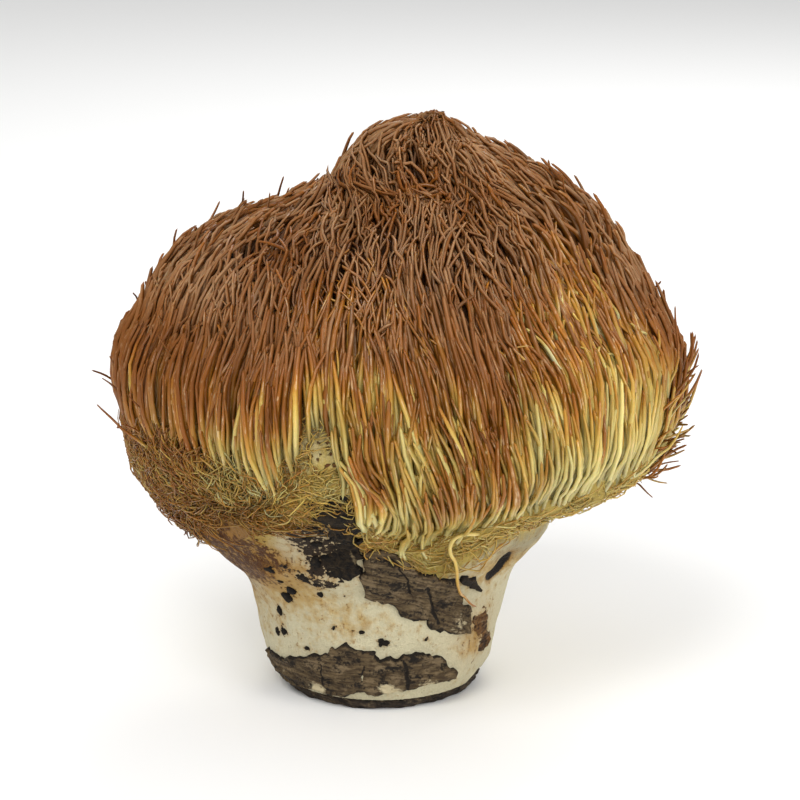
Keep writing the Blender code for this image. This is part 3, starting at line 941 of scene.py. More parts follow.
@dataclass(frozen=True)
class Strands:
    """A set of spines that lie over the skin, with sizes in mm and turns in degrees.

    From its root a strand climbs the slope, turned aside by the lean of its region, its own heading and
    a curl. It waves sideways and up and down, and its root and tip are drawn to the middle of its lock.
    It rises from under the skin to its tip's height as 1 less (1 less share) to a power. Some tips flip
    up, and others settle, with the cube of the share.
    """

    name: str
    zone: Zone
    count: int
    seed: int
    band: tuple[tuple[Edge, float], tuple[Edge, float]]
    length: float
    length_spread: float
    rise: float
    rise_spread: float
    rise_power: float
    radii: tuple[float, float]
    rings: int
    sides: int = 4
    turns: tuple[float, float] = (0, 360)
    root_seed: int = 0
    parts: int = 1
    wave: float = 0.5
    waves: float = 1.0
    heading: float = 0.0
    heading_spread: float = 0.1
    heading_field: float = 0.15
    field_size: float = 12
    curl: float = 0.2
    lock_size: float = 7
    lock_pull: float = 0.0
    root_pull: float = 0.0
    root_depth: float = 1.5
    flip: float = 0.0
    flips: float = 0.3
    settle: float = 0.0
    unison: float = 0.8
    blunt: float = 0.97
    blunt_level: float = 180
    thinned: float = 0.35

    @property
    def on_head(self) -> bool:
        """Whether these are long spines of the head."""
        return self.zone in (Zone.RIM, Zone.CROWN)

    def alike(self, chance: np.random.Generator, roots: Array, part: int) -> Array:
        """A value from -1 to 1 for each strand, partly its own and partly its neighbours'.

        Args:
            chance: Where its own part comes from.
            roots: Places of the roots.
            part: Picks one of many unlike sets of values.

        Returns:
            The values, in one column.
        """
        field = noise(roots / (self.field_size * MM), self.seed + 100 + part)
        own = chance.uniform(-1, 1, len(roots))
        return (self.unison * np.clip(1.7 * field, -1, 1) + (1 - self.unison) * own)[:, None]

    def lean(self, skin: Skin, turn: Array, start: Array, level: Array, share: Array) -> Array:
        """How far spines of the head lean aside, by region and away from the parting.

        Args:
            skin: The surface that they lie on.
            turn: Turn of each root in radians.
            start: Distance of each root from the rim.
            level: Height of each root in mm.
            share: Shares of the length, at the end of each pace.

        Returns:
            Radians for each pace of each strand.
        """
        off = degrees_of(turn) - skin.parting_turn
        part_way = 0.28 * np.tanh(off / 4) * bell(off, 14) * smooth_step(75 * MM, 20 * MM, start)
        low = smooth_step(162, 148, level)
        shoulder = smooth_step(106, 128, level) * low
        lean = LEAN.at(degrees_of(turn))
        lean = lean[:, 0] * low * (1 - shoulder) + lean[:, 1] * shoulder
        return part_way[:, None] * (1 - share) + lean[:, None]

    def grow(self, skin: Skin, turn: Array, start: Array, longest: Array) -> dict[str, Array]:
        """Lays the strands out.

        Args:
            skin: The surface that they lie on.
            turn: Turn of each root in radians.
            start: Distance of each root from the rim.
            longest: Greatest length of each strand.

        Returns:
            The paths, radii and facing of the tubes, and the turn, distance, share and height over the
            skin of every place of the paths, a value of each lock, and the lengths.
        """
        chance = np.random.default_rng(self.seed)
        count, lock_size = len(turn), self.lock_size * MM
        share = np.append(np.linspace(0, self.blunt, self.rings - 1), 1)[None]
        roots, facing = skin.at(turn, start)
        warp = np.stack([noise(roots / lock_size, self.seed + part) for part in (1, 2, 3)], -1)
        warped = roots + 0.35 * lock_size * warp
        cells = np.floor(warped / lock_size).astype(np.int64)
        lock = cell_value(cells, self.seed)
        length = self.length * MM * (1 + self.length_spread * chance.uniform(-1, 1, count) + 0.12 * lock)
        left = skin.length(turn) - start
        if self.zone is Zone.CROWN:
            length = np.minimum(length, np.maximum(left + 1 * MM, 7 * MM))
        length = np.minimum(length, longest)
        heading = self.heading + self.heading_spread * chance.normal(0, 1, count)
        heading = heading + self.heading_field * 2 * noise(roots / (self.field_size * MM), self.seed)
        swing = heading[:, None] + self.curl * self.alike(chance, roots, 1) * (share[:, 1:] - 0.4)
        if self.on_head:
            swing = swing + self.lean(skin, turn, start, roots[:, 2] / MM, share[:, 1:])
        turns, distance = skin.climb(turn, start, swing, length[:, None] * np.diff(share))
        phase = FULL_TURN * np.stack([self.alike(chance, roots, part) for part in (2, 3)])
        waves = self.waves * (1 + 0.4 * np.stack([self.alike(chance, roots, part) for part in (4, 5)]))
        size = self.wave * MM * chance.uniform(0.4, 1.4, (2, count, 1)) * share**0.8
        swell = np.sin(phase + FULL_TURN * waves * share)
        beside = np.cross(unit(UP - facing * facing[:, 2:]), facing)
        pull = self.lock_pull * share**1.4 + self.root_pull * (1 - share) ** 3
        pull = pull * np.sum(((cells + 0.5) * lock_size - warped) * beside, -1)[:, None]
        aside = size[0] * (swell[0] - np.sin(phase[0])) + pull
        turns = turns + aside / np.maximum(skin.radius(turns, distance), skin.narrowest)
        points, normals = skin.at(turns, distance)
        rise = 1 + self.rise_spread * chance.normal(0, 1, count) + 0.22 * lock
        rise = (self.rise * np.clip(rise, 0.25, 1.5) + self.root_depth)[:, None]
        height = (rise * (1 - (1 - share) ** self.rise_power) - self.root_depth) * MM
        flip = self.flip * MM * (chance.uniform(0, 1, count) < self.flips) * chance.uniform(0.2, 1, count)
        flip = (flip * smooth_step(4 * MM, 30 * MM, left))[:, None] * share**3
        height = height * (1 - self.settle * share**3) + flip + 0.6 * size[1] * swell[1]
        if self.on_head:
            height = height * (0.5 + 0.5 * smooth_step(2 * MM, 24 * MM, skin.length(turns) - distance))
        paths = points + normals * height[..., None]
        paths[..., 2] -= 0.7 * np.maximum(paths[..., 2] - self.blunt_level * MM, 0)
        taper = (self.radii[0] + (self.radii[1] - self.radii[0]) * share) * MM
        taper = taper * (1 - self.thinned * np.clip((share - 0.6) / 0.4, 0, 1) ** 2)
        taper = taper * (0.6 + 0.4 * smooth_step(0, 0.3, share))
        slight = np.clip(length / (self.length * MM), 0.4, 1)[:, None]
        return {
            "paths": paths,
            "radii": taper * slight * chance.uniform(0.8, 1.2, (count, 1)),
            "facing": facing,
            "turn": turns,
            "distance": distance,
            "share": share + 0 * distance,
            "height": height,
            "lock": lock[:, None] + 0 * distance,
            "length": length[:, None],
        }


# The wavy, matt spines from above the rim to the peak.
CROWN_SPINES = Strands(
    "spines_crown", Zone.CROWN, 4000, 34, ((Edge.TIER, -8), (Edge.PEAK, -1)), root_seed=6, parts=6,
    length=25, length_spread=0.34, rise=4.1, rise_spread=0.36, rise_power=1.9, radii=(0.86, 0.7),
    rings=13, sides=3, wave=1.25, waves=1.6, heading_spread=0.08, heading_field=0.28, field_size=9,
    curl=1.0, lock_pull=0.75, flip=3, flips=0.25,
)
# The long wavy spines that lie across the others, most of all left of the peak.
STRAY_SPINES = Strands(
    "spines_stray", Zone.CROWN, 160, 55, ((Edge.TIER, 0), (Edge.PEAK, -15)),
    length=18, length_spread=0.3, rise=5.0, rise_spread=0.16, rise_power=3.0, radii=(0.66, 0.54),
    rings=16, wave=1.3, waves=1.6, heading_spread=0.4, heading_field=0.3, curl=1.2, unison=0.5,
)
# The long, straight, glossy spines of the lower edge.
RIM_SPINES = Strands(
    "spines_rim", Zone.RIM, 4500, 21, ((Edge.RIM, 0), (Edge.TIER, 0)), root_seed=5, parts=4,
    length=34, length_spread=0.26, rise=4.2, rise_spread=0.34, rise_power=1.7, radii=(0.98, 0.74),
    rings=8, wave=0.6, waves=0.9, heading_spread=0.05, heading_field=0.09, field_size=9, curl=0.4,
    lock_pull=0.6, root_pull=0.55, flip=2.5, flips=0.15,
)
# The single spines that stand off the head.
LOOSE_SPINES = Strands(
    "spines_loose", Zone.RIM, 150, 77, ((Edge.RIM, 0), (Edge.RIM, 100)), turns=(322, 578),
    length=15, length_spread=0.45, rise=4.5, rise_spread=0.2, rise_power=1.3, radii=(0.55, 0.42),
    rings=11, wave=1.3, waves=0.9, heading_spread=0.35, heading_field=0.4, curl=1.9, flip=6, flips=0.9,
    unison=0.3,
)
# The fine threads that loop under the rim.
FRINGE_THREADS = Strands(
    "fringe_threads", Zone.FRINGE, 1150, 144, ((Edge.LOBE, -4), (Edge.LOBE, 3)),
    length=7, length_spread=0.45, rise=1.6, rise_spread=0.5, rise_power=1.4, radii=(0.26, 0.208),
    rings=9, sides=3, wave=1.4, waves=1.5, heading=1.2, heading_spread=0.8, heading_field=0.6,
    field_size=7, curl=3.0, root_depth=0.5, settle=0.9, unison=0.4,
)
SETS = (
    CROWN_SPINES,
    STRAY_SPINES,
    replace(
        STRAY_SPINES, name="spines_collar", count=44, seed=65, turns=(232, 276), heading=1.0,
        band=((Edge.COLLAR, 0), (Edge.COLLAR_TOP, 0)), heading_spread=0.1,
    ),
    RIM_SPINES,
    LOOSE_SPINES,
    replace(
        LOOSE_SPINES, name="spines_bundle", count=14, seed=78, band=((Edge.RIM, 12), (Edge.RIM, 24)),
        turns=(340, 362), length=20, rise=8, flip=3,
    ),
    replace(
        LOOSE_SPINES, name="spines_tuft", zone=Zone.LOBE, count=90, seed=79,
        band=((Edge.RIM, -4), (Edge.RIM, 16)), turns=(336, 376), length=11, rise=3,
    ),
    Strands(
        "spines_lobe", Zone.LOBE, 2500, 89, ((Edge.LOBE, 0), (Edge.LOBE_TOP, 0)), turns=(150, 262),
        root_seed=9, parts=2, length=16, length_spread=0.4, rise=2.8, rise_spread=0.45, rise_power=1.5,
        radii=(0.3, 0.24), rings=11, sides=3, wave=1.5, waves=1.8, heading=-0.4, heading_spread=0.7,
        heading_field=0.9, field_size=6, curl=2.6, lock_pull=0.3, flip=2.5, flips=0.08, settle=0.85,
        unison=0.55,
    ),
    FRINGE_THREADS,
    replace(
        FRINGE_THREADS, name="fringe_tangle", count=620, seed=233, turns=(210, 268), length=13,
        band=((Edge.LOBE, -1), (Edge.LOBE, 10)), radii=(0.24, 0.192),
    ),
    replace(
        FRINGE_THREADS, name="fringe_front", count=420, seed=377, turns=(264, 326), length=12, rise=2.6,
        band=((Edge.LOBE, -6), (Edge.LOBE, 5)), radii=(0.28, 0.224), heading=1.9,
    ),
    replace(
        FRINGE_THREADS, name="fringe_patch", count=240, seed=388, turns=(245, 263), length=8,
        band=((Edge.LOBE, 0), (Edge.LOBE, 32)), radii=(0.27, 0.216), heading=0.5,
    ),
)


@dataclass
class Coat:
    """All the spines of the head, and how ripe each part of them looks."""

    skin: Skin
    tier_height: float = 110 * MM
    collar_height: float = 150 * MM
    collar_top: float = 161 * MM
    bald_turn: float = 254
    bald_height: float = 90 * MM

    def __post_init__(self) -> None:
        """Works out the edges that the roots lie between, for every degree of turn."""
        turn = np.radians(DEGREES)
        lobe = self.skin.distance(turn, LOBE_HEIGHT.value(DEGREES % 360) * MM)
        low = 10 * MM * bell(DEGREES - 228, 18)
        self.edges = {
            Edge.RIM: np.maximum(lobe, 0) - 2.5 * MM - 5 * MM * bell(DEGREES - 286, 14),
            Edge.TIER: self.skin.distance(turn, self.tier_height + 0 * turn),
            Edge.PEAK: self.skin.length(turn),
            Edge.LOBE: low,
            Edge.LOBE_TOP: np.maximum(lobe, low),
            Edge.COLLAR: self.skin.distance(turn, self.collar_height + 0 * turn),
            Edge.COLLAR_TOP: self.skin.distance(turn, self.collar_top + 0 * turn),
        }
        self.finish = SpineFinish().material()

    def edge(self, name: Edge, degree: Array) -> Array:
        """Distance from the rim to an edge, at a turn in degrees."""
        return np.interp(degree, DEGREES, self.edges[name])

    def bald(self, turn: Array, height: Array) -> Array:
        """How bare of spines the flesh is: 1 in the middle of the patch over the parting."""
        across = bell(degrees_of(turn) - self.bald_turn, 4.4)
        return across * bell(height - self.bald_height, 5.6 * MM)

    def roots(self, strands: Strands) -> tuple[Array, Array]:
        """Spreads the roots of a set evenly over its band.

        Places come from a sequence that fills a square evenly, in steps of the two inverse powers of the
        plastic number, and one is kept with the share of the widest radius that it has.

        Args:
            strands: The set.

        Returns:
            Turns in radians and distances in metres.
        """
        chance = np.random.default_rng(strands.root_seed or strands.seed)
        tries = np.arange(strands.count * 10)
        first, last = strands.turns
        degree = first + (last - first) * np.mod(0.5 + tries * (1 / PLASTIC_NUMBER), 1)
        low, high = (self.edge(name, degree % 360) + offset * MM for name, offset in strands.band)
        turn = np.radians(degree)
        distance = low + (high - low) * np.mod(0.5 + tries * (1 / PLASTIC_NUMBER**2), 1)
        area = self.skin.radius(turn, distance) * (high - low)
        kept = np.flatnonzero(chance.uniform(0, 1, len(tries)) < area / area.max())[: strands.count]
        return turn[kept], distance[kept]

    def ripen(self, laid: dict[str, Array], strands: Strands) -> dict[str, Array]:
        """Works out the look of every place of the strands.

        Past is how many mm a place is over the height of ripeness, shifted by its strand, its lock, its
        patch and its region. The tone follows from it.

        Args:
            laid: What Strands.grow gives.
            strands: The set.

        Returns:
            The attributes tone, taupe, depth, which is painted shade on strands that lie low, shade and
            run.
        """
        chance = np.random.default_rng(strands.seed + 7)
        zone, degree, column = strands.zone, degrees_of(laid["turn"]), (len(laid["turn"]), 1)
        share, lock, level = laid["share"], laid["lock"], laid["paths"][..., 2] / MM
        over = laid["distance"] - self.edge(Edge.RIM, degree)
        patch, small = noise(laid["paths"] / (15 * MM), 11), noise(laid["paths"] / (6 * MM), 12)
        own, odd = chance.normal(0, 1, column), chance.uniform(0, 1, column)
        shade = 0.95 + 0.09 * chance.normal(0, 1, column) + 0.1 * patch + 0.1 * lock
        # Painted shade: depth is high where a strand lies low over the skin, among the others. The lobe
        # has its own depth and the fringe none.
        deep = smooth_step(3.4 * MM, 0, laid["height"]) * smooth_step(4 * MM, 22 * MM, over)
        if zone is Zone.LOBE:
            tone = 0.36 + 0.1 * share + 0.2 * patch + 0.1 * own + 0.1 * smooth_step(235, 200, degree)
            tone = tone - 0.08 * smooth_step(-12 * MM, 0 * MM, over) * smooth_step(200, 225, degree)
            tone = tone + 0.1 * (smooth_step(325, 340, degree) + smooth_step(40, 20, degree))
            deep = smooth_step(2.0 * MM, 0, laid["height"])
            taupe = 0.08 + 0 * share
        elif zone is Zone.FRINGE:
            yellow = smooth_step(255, 280, degree) * smooth_step(360, 340, degree)
            tone = 0.24 - 0.05 * yellow + 0.16 * share**3 + 0.05 * own + 0.06 * patch
            tone = tone + 0.17 * bell(degree - 230, 22)
            tone = tone - 0.1 * bell(degree - 254, 7) * smooth_step(72, 82, level)
            deep = 0 * share
            taupe = 0.1 + 0 * share
        else:
            past = (
                level - RIPE_HEIGHT.value(degree) + 28 * (share - 0.5)
                + 5 * own + 9 * lock + 12 * patch + 10 * small
                + 20 * (odd > 0.93) - 22 * (odd < 0.08) * smooth_step(122, 104, level)
                + 26 * bell(degree - 222, 22) * smooth_step(90, 66, level)
                + blot_sum(RIPE_SHIFTS, degree, level)
            )
            tone = TONES.value(past) - 0.1 * bell(over - 3 * MM, 6 * MM)
            taupe = smooth_step(112, 142, level) * smooth_step(0, 25, past) * smooth_step(0.1, 0.6, share)
            taupe = taupe * (0.5 + 0.6 * patch + 0.3 * own)
            shade = shade + 0.14 * smooth_step(0.55, 1, share) * smooth_step(105, 130, level) - 0.03
            shade = shade + blot_sum(SHADE_SHIFTS, degree, level)
        if zone is Zone.CROWN:
            glimpse = smooth_step(278, 294, degree) * smooth_step(340, 326, degree)
            glimpse = glimpse * bell(level - 124, 11) * smooth_step(0.85, 0.5, share) * (odd < 0.6)
            tone = tone - 0.42 * glimpse - 0.26 * smooth_step(0.7, 1, share) * (odd > 0.4)
        if not strands.on_head:
            shade = shade - 0.23 + 0.24 * bell(degree - 254, 7) * smooth_step(68, 78, level)
            shade = shade + 0.2 * smooth_step(262, 285, degree) * smooth_step(350, 335, degree)
        run = chance.uniform(0, 50, column) + share * laid["length"] / (9 * MM)
        looks = {"tone": tone, "taupe": taupe, "depth": deep}
        looks = {key: np.clip(values, 0, 1) for key, values in looks.items()}
        return looks | {"shade": np.clip(shade, 0.6, 1.5), "run": run}

    def plant(self, strands: Strands) -> None:
        """Grows a set, leaves out what would cover the bald patch, and makes its pieces.

        Args:
            strands: The set.
        """
        turn, start = self.roots(strands)
        order = np.argsort(np.mod(turn - math.pi / 4, FULL_TURN))
        turn, start = turn[order], start[order]
        below = self.bald_height - 4 * MM - self.skin.at(turn, start)[0][:, 2]
        beneath = (abs(degrees_of(turn) - self.bald_turn) < 5.5) & (below > -2 * MM)
        longest = np.where(beneath & strands.on_head, below, 1.0)
        laid = strands.grow(self.skin, turn, start, longest)
        over_patch = self.bald(laid["turn"], laid["paths"][..., 2]).max(axis=1)
        clear = (over_patch < (0.7 if strands.on_head else 0.8)) & (longest > 20 * MM)
        laid = {key: values[clear] for key, values in laid.items()}
        looks = self.ripen(laid, strands)
        bounds = np.linspace(0, clear.sum(), strands.parts + 1).astype(int)
        for part, (first, last) in enumerate(zip(bounds, bounds[1:]), 1):
            paths, radii, facing = (laid[key][first:last] for key in ("paths", "radii", "facing"))
            own = {key: values[first:last] for key, values in looks.items()}
            piece = Tubes(paths, radii, facing, strands.sides).piece(f"{strands.name}_{part}", own)
            dress(piece, self.finish)

    def curled_spine(self) -> None:
        """The one long spine that hangs in a curl at the right of the front."""
        curve = SmoothCurve(tuple(zip(np.linspace(0, 1, len(CURLED)), *zip(*CURLED))))
        share = np.linspace(0, 1, 33)
        turn, height, lift = curve.at(share).T
        turn = np.radians(turn)
        points, normals = self.skin.at(turn, self.skin.distance(turn, height * MM))
        paths = (points + normals * lift[:, None] * MM)[None]
        radii = np.interp(share, (0, 0.5, 0.9, 1), (0.7, 0.58, 0.36, 0.16))[None] * MM
        looks = {key: value + 0 * share[None] for key, value in (("taupe", 0), ("depth", 0), ("shade", 1))}
        looks["tone"] = np.interp(share, (0, 0.45, 0.75, 1), (0.14, 0.17, 0.36, 0.6))[None]
        looks["run"] = 5 * share[None]
        dress(Tubes(paths, radii, normals[:1], 8).piece("curled_spine", looks), self.finish)

    def build(self) -> None:
        """Builds every set of spines, from the crown down, and the curled one."""
        for strands in SETS:
            self.plant(strands)
        self.curled_spine()


@dataclass
class Flesh:
    """The flesh of stalk, underside and head: the skin itself with a finer relief."""

    skin: Skin
    coat: Coat
    columns: int = 340
    stalk_rows: int = 92
    head_rows: int = 30
    map_edge: float = 0.06

    def slit(self, turn: Array, height: Array) -> Array:
        """How deep the dark slit at the right of the stalk is: 1 along its middle."""
        middle = 326.5 - (height / MM - 43) * 0.35
        return bell(degrees_of(turn) - middle, 5.4) * bell(height / MM - 43.5, 6)

    def surface(self) -> tuple[Array, Array, Array]:
        """The skin with relief: the rim's roll, soft lumps, fine wrinkles and the dark slit.

        Returns:
            Places, turns and distances, for each row from the foot to just under the peak.
        """
        turn = np.linspace(0, FULL_TURN, self.columns, endpoint=False)[None]
        stalk = np.linspace(1, 0, self.stalk_rows)[:, None] * self.skin.bottom(turn)
        head = np.linspace(0, 1, self.head_rows + 2)[1:-1, None] * self.skin.length(turn)
        distance = np.concatenate((stalk, head))
        turns = turn + 0 * distance
        points, normals = self.skin.at(turns, distance)
        below = smooth_step(4 * MM, -8 * MM, distance)
        above_foot = smooth_step(0, 4 * MM, points[..., 2] - self.skin.foot)
        lift = 0.9 * MM * bell(distance, 4.5 * MM) * (1 + noise(points / (5 * MM), 17))
        lift = lift * (1 - bell(degrees_of(turns) - 262, 7))
        lumps = noise(points / (9 * MM), 19) * 0.75 + noise(points / (4 * MM), 23) * 0.3
        wrinkles = noise(points / np.array((1.7, 1.7, 6.0)) / MM, 29) * 0.16
        lift = lift + (lumps + wrinkles) * MM * below
        lift = (lift - 3.4 * MM * self.slit(turns, points[..., 2])) * above_foot
        return points + normals * lift[..., None], turns, distance

    def maps(self, rows: int) -> list[Array]:
        """Where the corners of the faces go on the baked map.

        Args:
            rows: How many rings the mesh has.

        Returns:
            Places for the walls, the fan under them and the fan over them.
        """
        tall, edge = (1 - 2 * self.map_edge) / (rows - 1), self.map_edge
        near, low = np.meshgrid(np.arange(self.columns) / self.columns, edge + tall * np.arange(rows))
        far, high = near + 1 / self.columns, low + tall
        walls = np.stack((near, low, far, low, far, high, near, high), -1)[:-1]
        near, far, edge = near[0], far[0], edge - 0.01 + 0 * near[0]
        under = np.stack((far, edge, near, edge, (near + far) / 2, 0 * edge), -1)
        over = np.stack((near, 1 - edge, far, 1 - edge, (near + far) / 2, 0 * edge + 1), -1)
        return [walls, under, over]

    def build(self) -> None:
        """Makes the closed mesh, with a point at the peak and one in the cut face."""
        points, turns, distance = self.surface()
        height, degree = points[..., 2], degrees_of(turns)
        base, peak = self.skin.foot * UP, self.skin.peak - self.skin.peak_sink * UP
        bald = self.coat.bald(turns, height)
        in_lobe = smooth_step(self.coat.edge(Edge.LOBE_TOP, degree) + 2 * MM, -2 * MM, distance)
        in_lobe = in_lobe * smooth_step(-5 * MM, 1 * MM, distance) * smooth_step(262, 246, degree)
        yellow = bell(distance, 9 * MM) + 0.5 * smooth_step(-34 * MM, -6 * MM, distance)
        looks = {key: np.clip(blot_sum(rows, degree, height / MM), 0, 1) for key, rows in BLOTS.items()}
        looks["yellow"] = yellow * (1 - bald) + 0.62 * bald + 0.9 * looks["yellow"]
        looks["lobe"] = in_lobe * smooth_step(150, 170, degree)
        looks["slit"] = self.slit(turns, height)
        # Painted shade: under marks the flesh above the rim that shows between the spines, left out on the
        # bald patch and the lobe.
        looks["under"] = smooth_step(16 * MM, 32 * MM, distance) * (1 - bald) * (1 - in_lobe)
        looks["bald"] = bald
        spread = {
            key: np.clip(np.concatenate((values.ravel(), (values[0].mean(), values[-1].mean()))), 0, 1)
            for key, values in looks.items()
        }
        vertices = np.concatenate((points.reshape(-1, 3), (base, peak)))
        piece = mesh_piece("flesh", vertices, closed_rings(*turns.shape), spread, self.maps(len(turns)))
        dress(piece, FleshFinish().material(), ("mushroom",))


class Key(Enum):
    """What the edges of a piece of bark are listed by."""

    TURN = "turn"
    HEIGHT = "height"


@dataclass
class BarkPlate:
    """A broken plate of bark in the skin of the stalk, with sizes and heights in mm and turns in degrees.

    Its face is a grid between two edges, which are straight between their listed places and ragged by
    noise. It stands out of the skin by its rise, plus ridges along the grain and flakes in steps, and
    falls to its sides near the edge. Its back lies under the skin.
    """

    name: str
    key: Key
    edges: tuple[Rows, Rows]
    cells: tuple[int, int]
    finish: BarkFinish
    rise: float
    flakes: float
    ragged: float = 1.0
    depth: float = 2.0
    sunk: float = 0.5
    slant: float = 0.0
    dust: Rows = ()
    cracks: Rows = ()

    def chart(self) -> tuple[Array, Array, Array, Array]:
        """Lays the grid over the skin's chart.

        Returns:
            Turns in degrees, heights in mm, and the shares of the grid to its nearer ends and sides.
        """
        along = np.linspace(0, 1, self.cells[0] + 1)[:, None]
        across = np.linspace(0, 1, self.cells[1] + 1)[None]
        first, second = (np.array(edge) for edge in self.edges)
        start, end = min(first[0, 0], second[0, 0]), max(first[-1, 0], second[-1, 0])
        keys = start + (end - start) * along
        low, high = (np.interp(keys, edge[:, 0], edge[:, 1]) for edge in (first, second))
        values = low + (high - low) * across
        keys = keys + 0 * values
        places = (keys, values) if self.key is Key.TURN else (values, keys)
        return *places, np.minimum(along, 1 - along), np.minimum(across, 1 - across)

    def crack(self, degree: Array, level: Array, wander: Array) -> Array:
        """How deep the cracks are.

        Args:
            degree: Turns in degrees.
            level: Heights in mm.
            wander: How far a crack strays to the side.

        Returns:
            1 in the middle of a crack, which runs from one height to another with a slope.
        """
        deepest = 0 * degree
        for turn, slope, low, high, wide in self.cracks:
            inside = smooth_step(low - 1, low + 1, level) * smooth_step(high + 1, high - 1, level)
            off = degree - turn - slope * (level - low) + wander
            deepest = np.maximum(deepest, bell(off, wide) * inside)
        return deepest

    def build(self, skin: Skin) -> bpy.types.Object:
        """Makes the plate as a closed shell.

        Args:
            skin: The surface that it sits in.

        Returns:
            The object.
        """
        degree, level, ends, sides = self.chart()
        turn, height = np.radians(degree), level * MM
        points, _ = skin.at(turn, skin.distance(turn, height))
        loose = 1 - smooth_step(0, 0.5, np.minimum(ends * 4, sides * 2))
        coarse, fine = points / (2.6 * MM), points / (1.1 * MM)
        shifts = [noise(coarse, seeds[0]) + 0.6 * noise(fine, seeds[1]) for seeds in ((41, 43), (47, 53))]
        aside, upward = (self.ragged * MM * shift * loose for shift in shifts)
        radius = np.linalg.norm(points[..., :2], axis=-1)
        turn = turn + aside / radius
        height = np.maximum(height + upward, skin.foot + 0.2 * MM)
        points, normals = skin.at(turn, skin.distance(turn, height))
        around = turn * radius.mean()
        across, along = height - self.slant * (around - around.mean()), around + self.slant * height
        grain = np.stack((across / (1.3 * MM), along / (9 * MM), 0 * height), -1)
        ridges = noise(grain, 59) * 0.5 + noise(grain * 2.3, 61) * 0.25
        layers = noise(np.stack((across / (4 * MM), along / (11 * MM), 0 * height), -1), 67)
        layers = np.floor(layers * 3.5) / 3.5
        crack = self.crack(degree, level, 0.6 * noise(points / (1.8 * MM), 73))
        relief = self.flakes * (ridges + layers * 0.8 + noise(points / (0.9 * MM), 71) * 0.18)
        grid = np.minimum(ends * self.cells[0], sides * self.cells[1])
        lift = (self.rise + self.sunk + relief - 0.5 * crack) * smooth_step(0, 3, grid) - self.sunk
        face, back = points + normals * lift[..., None] * MM, points - normals * self.depth * MM
        looks = {
            "across": across,
            "along": along,
            # Painted shade along the sunk border, in the cracks and on the lowest flakes.
            "edge": np.clip(1 - smooth_step(0, 4, grid) + 0.4 * (layers < -0.3) + crack, 0, 1),
            "dust": np.clip(blot_sum(self.dust, np.degrees(turn), height / MM), 0, 1),
        }
        return shell_piece(self.name, face, back, looks)


def shell_piece(name: str, face: Array, back: Array, looks: dict[str, Array]) -> bpy.types.Object:
    """Closes two grids of the same size into one shell, with walls round their edges.

    Args:
        name: The piece's name.
        face: The outer grid.
        back: The inner grid.
        looks: Attributes of each place of the grid.

    Returns:
        The object.
    """
    size = face[..., 0].size
    index = np.arange(size).reshape(face.shape[:2])
    quads = np.stack((index[:-1, :-1], index[1:, :-1], index[1:, 1:], index[:-1, 1:]), -1).reshape(-1, 4)
    border = np.concatenate((index[:-1, 0], index[-1, :-1], index[:0:-1, -1], index[0, :0:-1]))
    ahead = np.roll(border, -1)
    walls = np.stack((border, border + size, ahead + size, ahead), -1)
    corners = np.concatenate((quads, quads[:, ::-1] + size, walls))
    points = np.concatenate((face.reshape(-1, 3), back.reshape(-1, 3)))
    first, second, third, fourth = points[corners].transpose(1, 0, 2)
    volume = (first * (np.cross(second, third) + np.cross(third, fourth))).sum()
    faces = [corners if volume > 0 else corners[:, ::-1]]
    spread = {key: np.tile(values.ravel(), 2) for key, values in looks.items()}
    return mesh_piece(name, points, faces, spread)


GREY = BarkFinish("bark_grey")
RED = BarkFinish("bark_red", (118, 84, 46), (86, 56, 30), (50, 34, 22), fibre=0.7 * MM)
BLACK = BarkFinish(
    "bark_black", (46, 37, 26), (26, 21, 16), (16, 13, 11), (122, 106, 78), (66, 54, 38), ratio=1.5
)
FOOT = BarkFinish("bark_foot", (74, 62, 50), (48, 40, 33), (28, 24, 21))
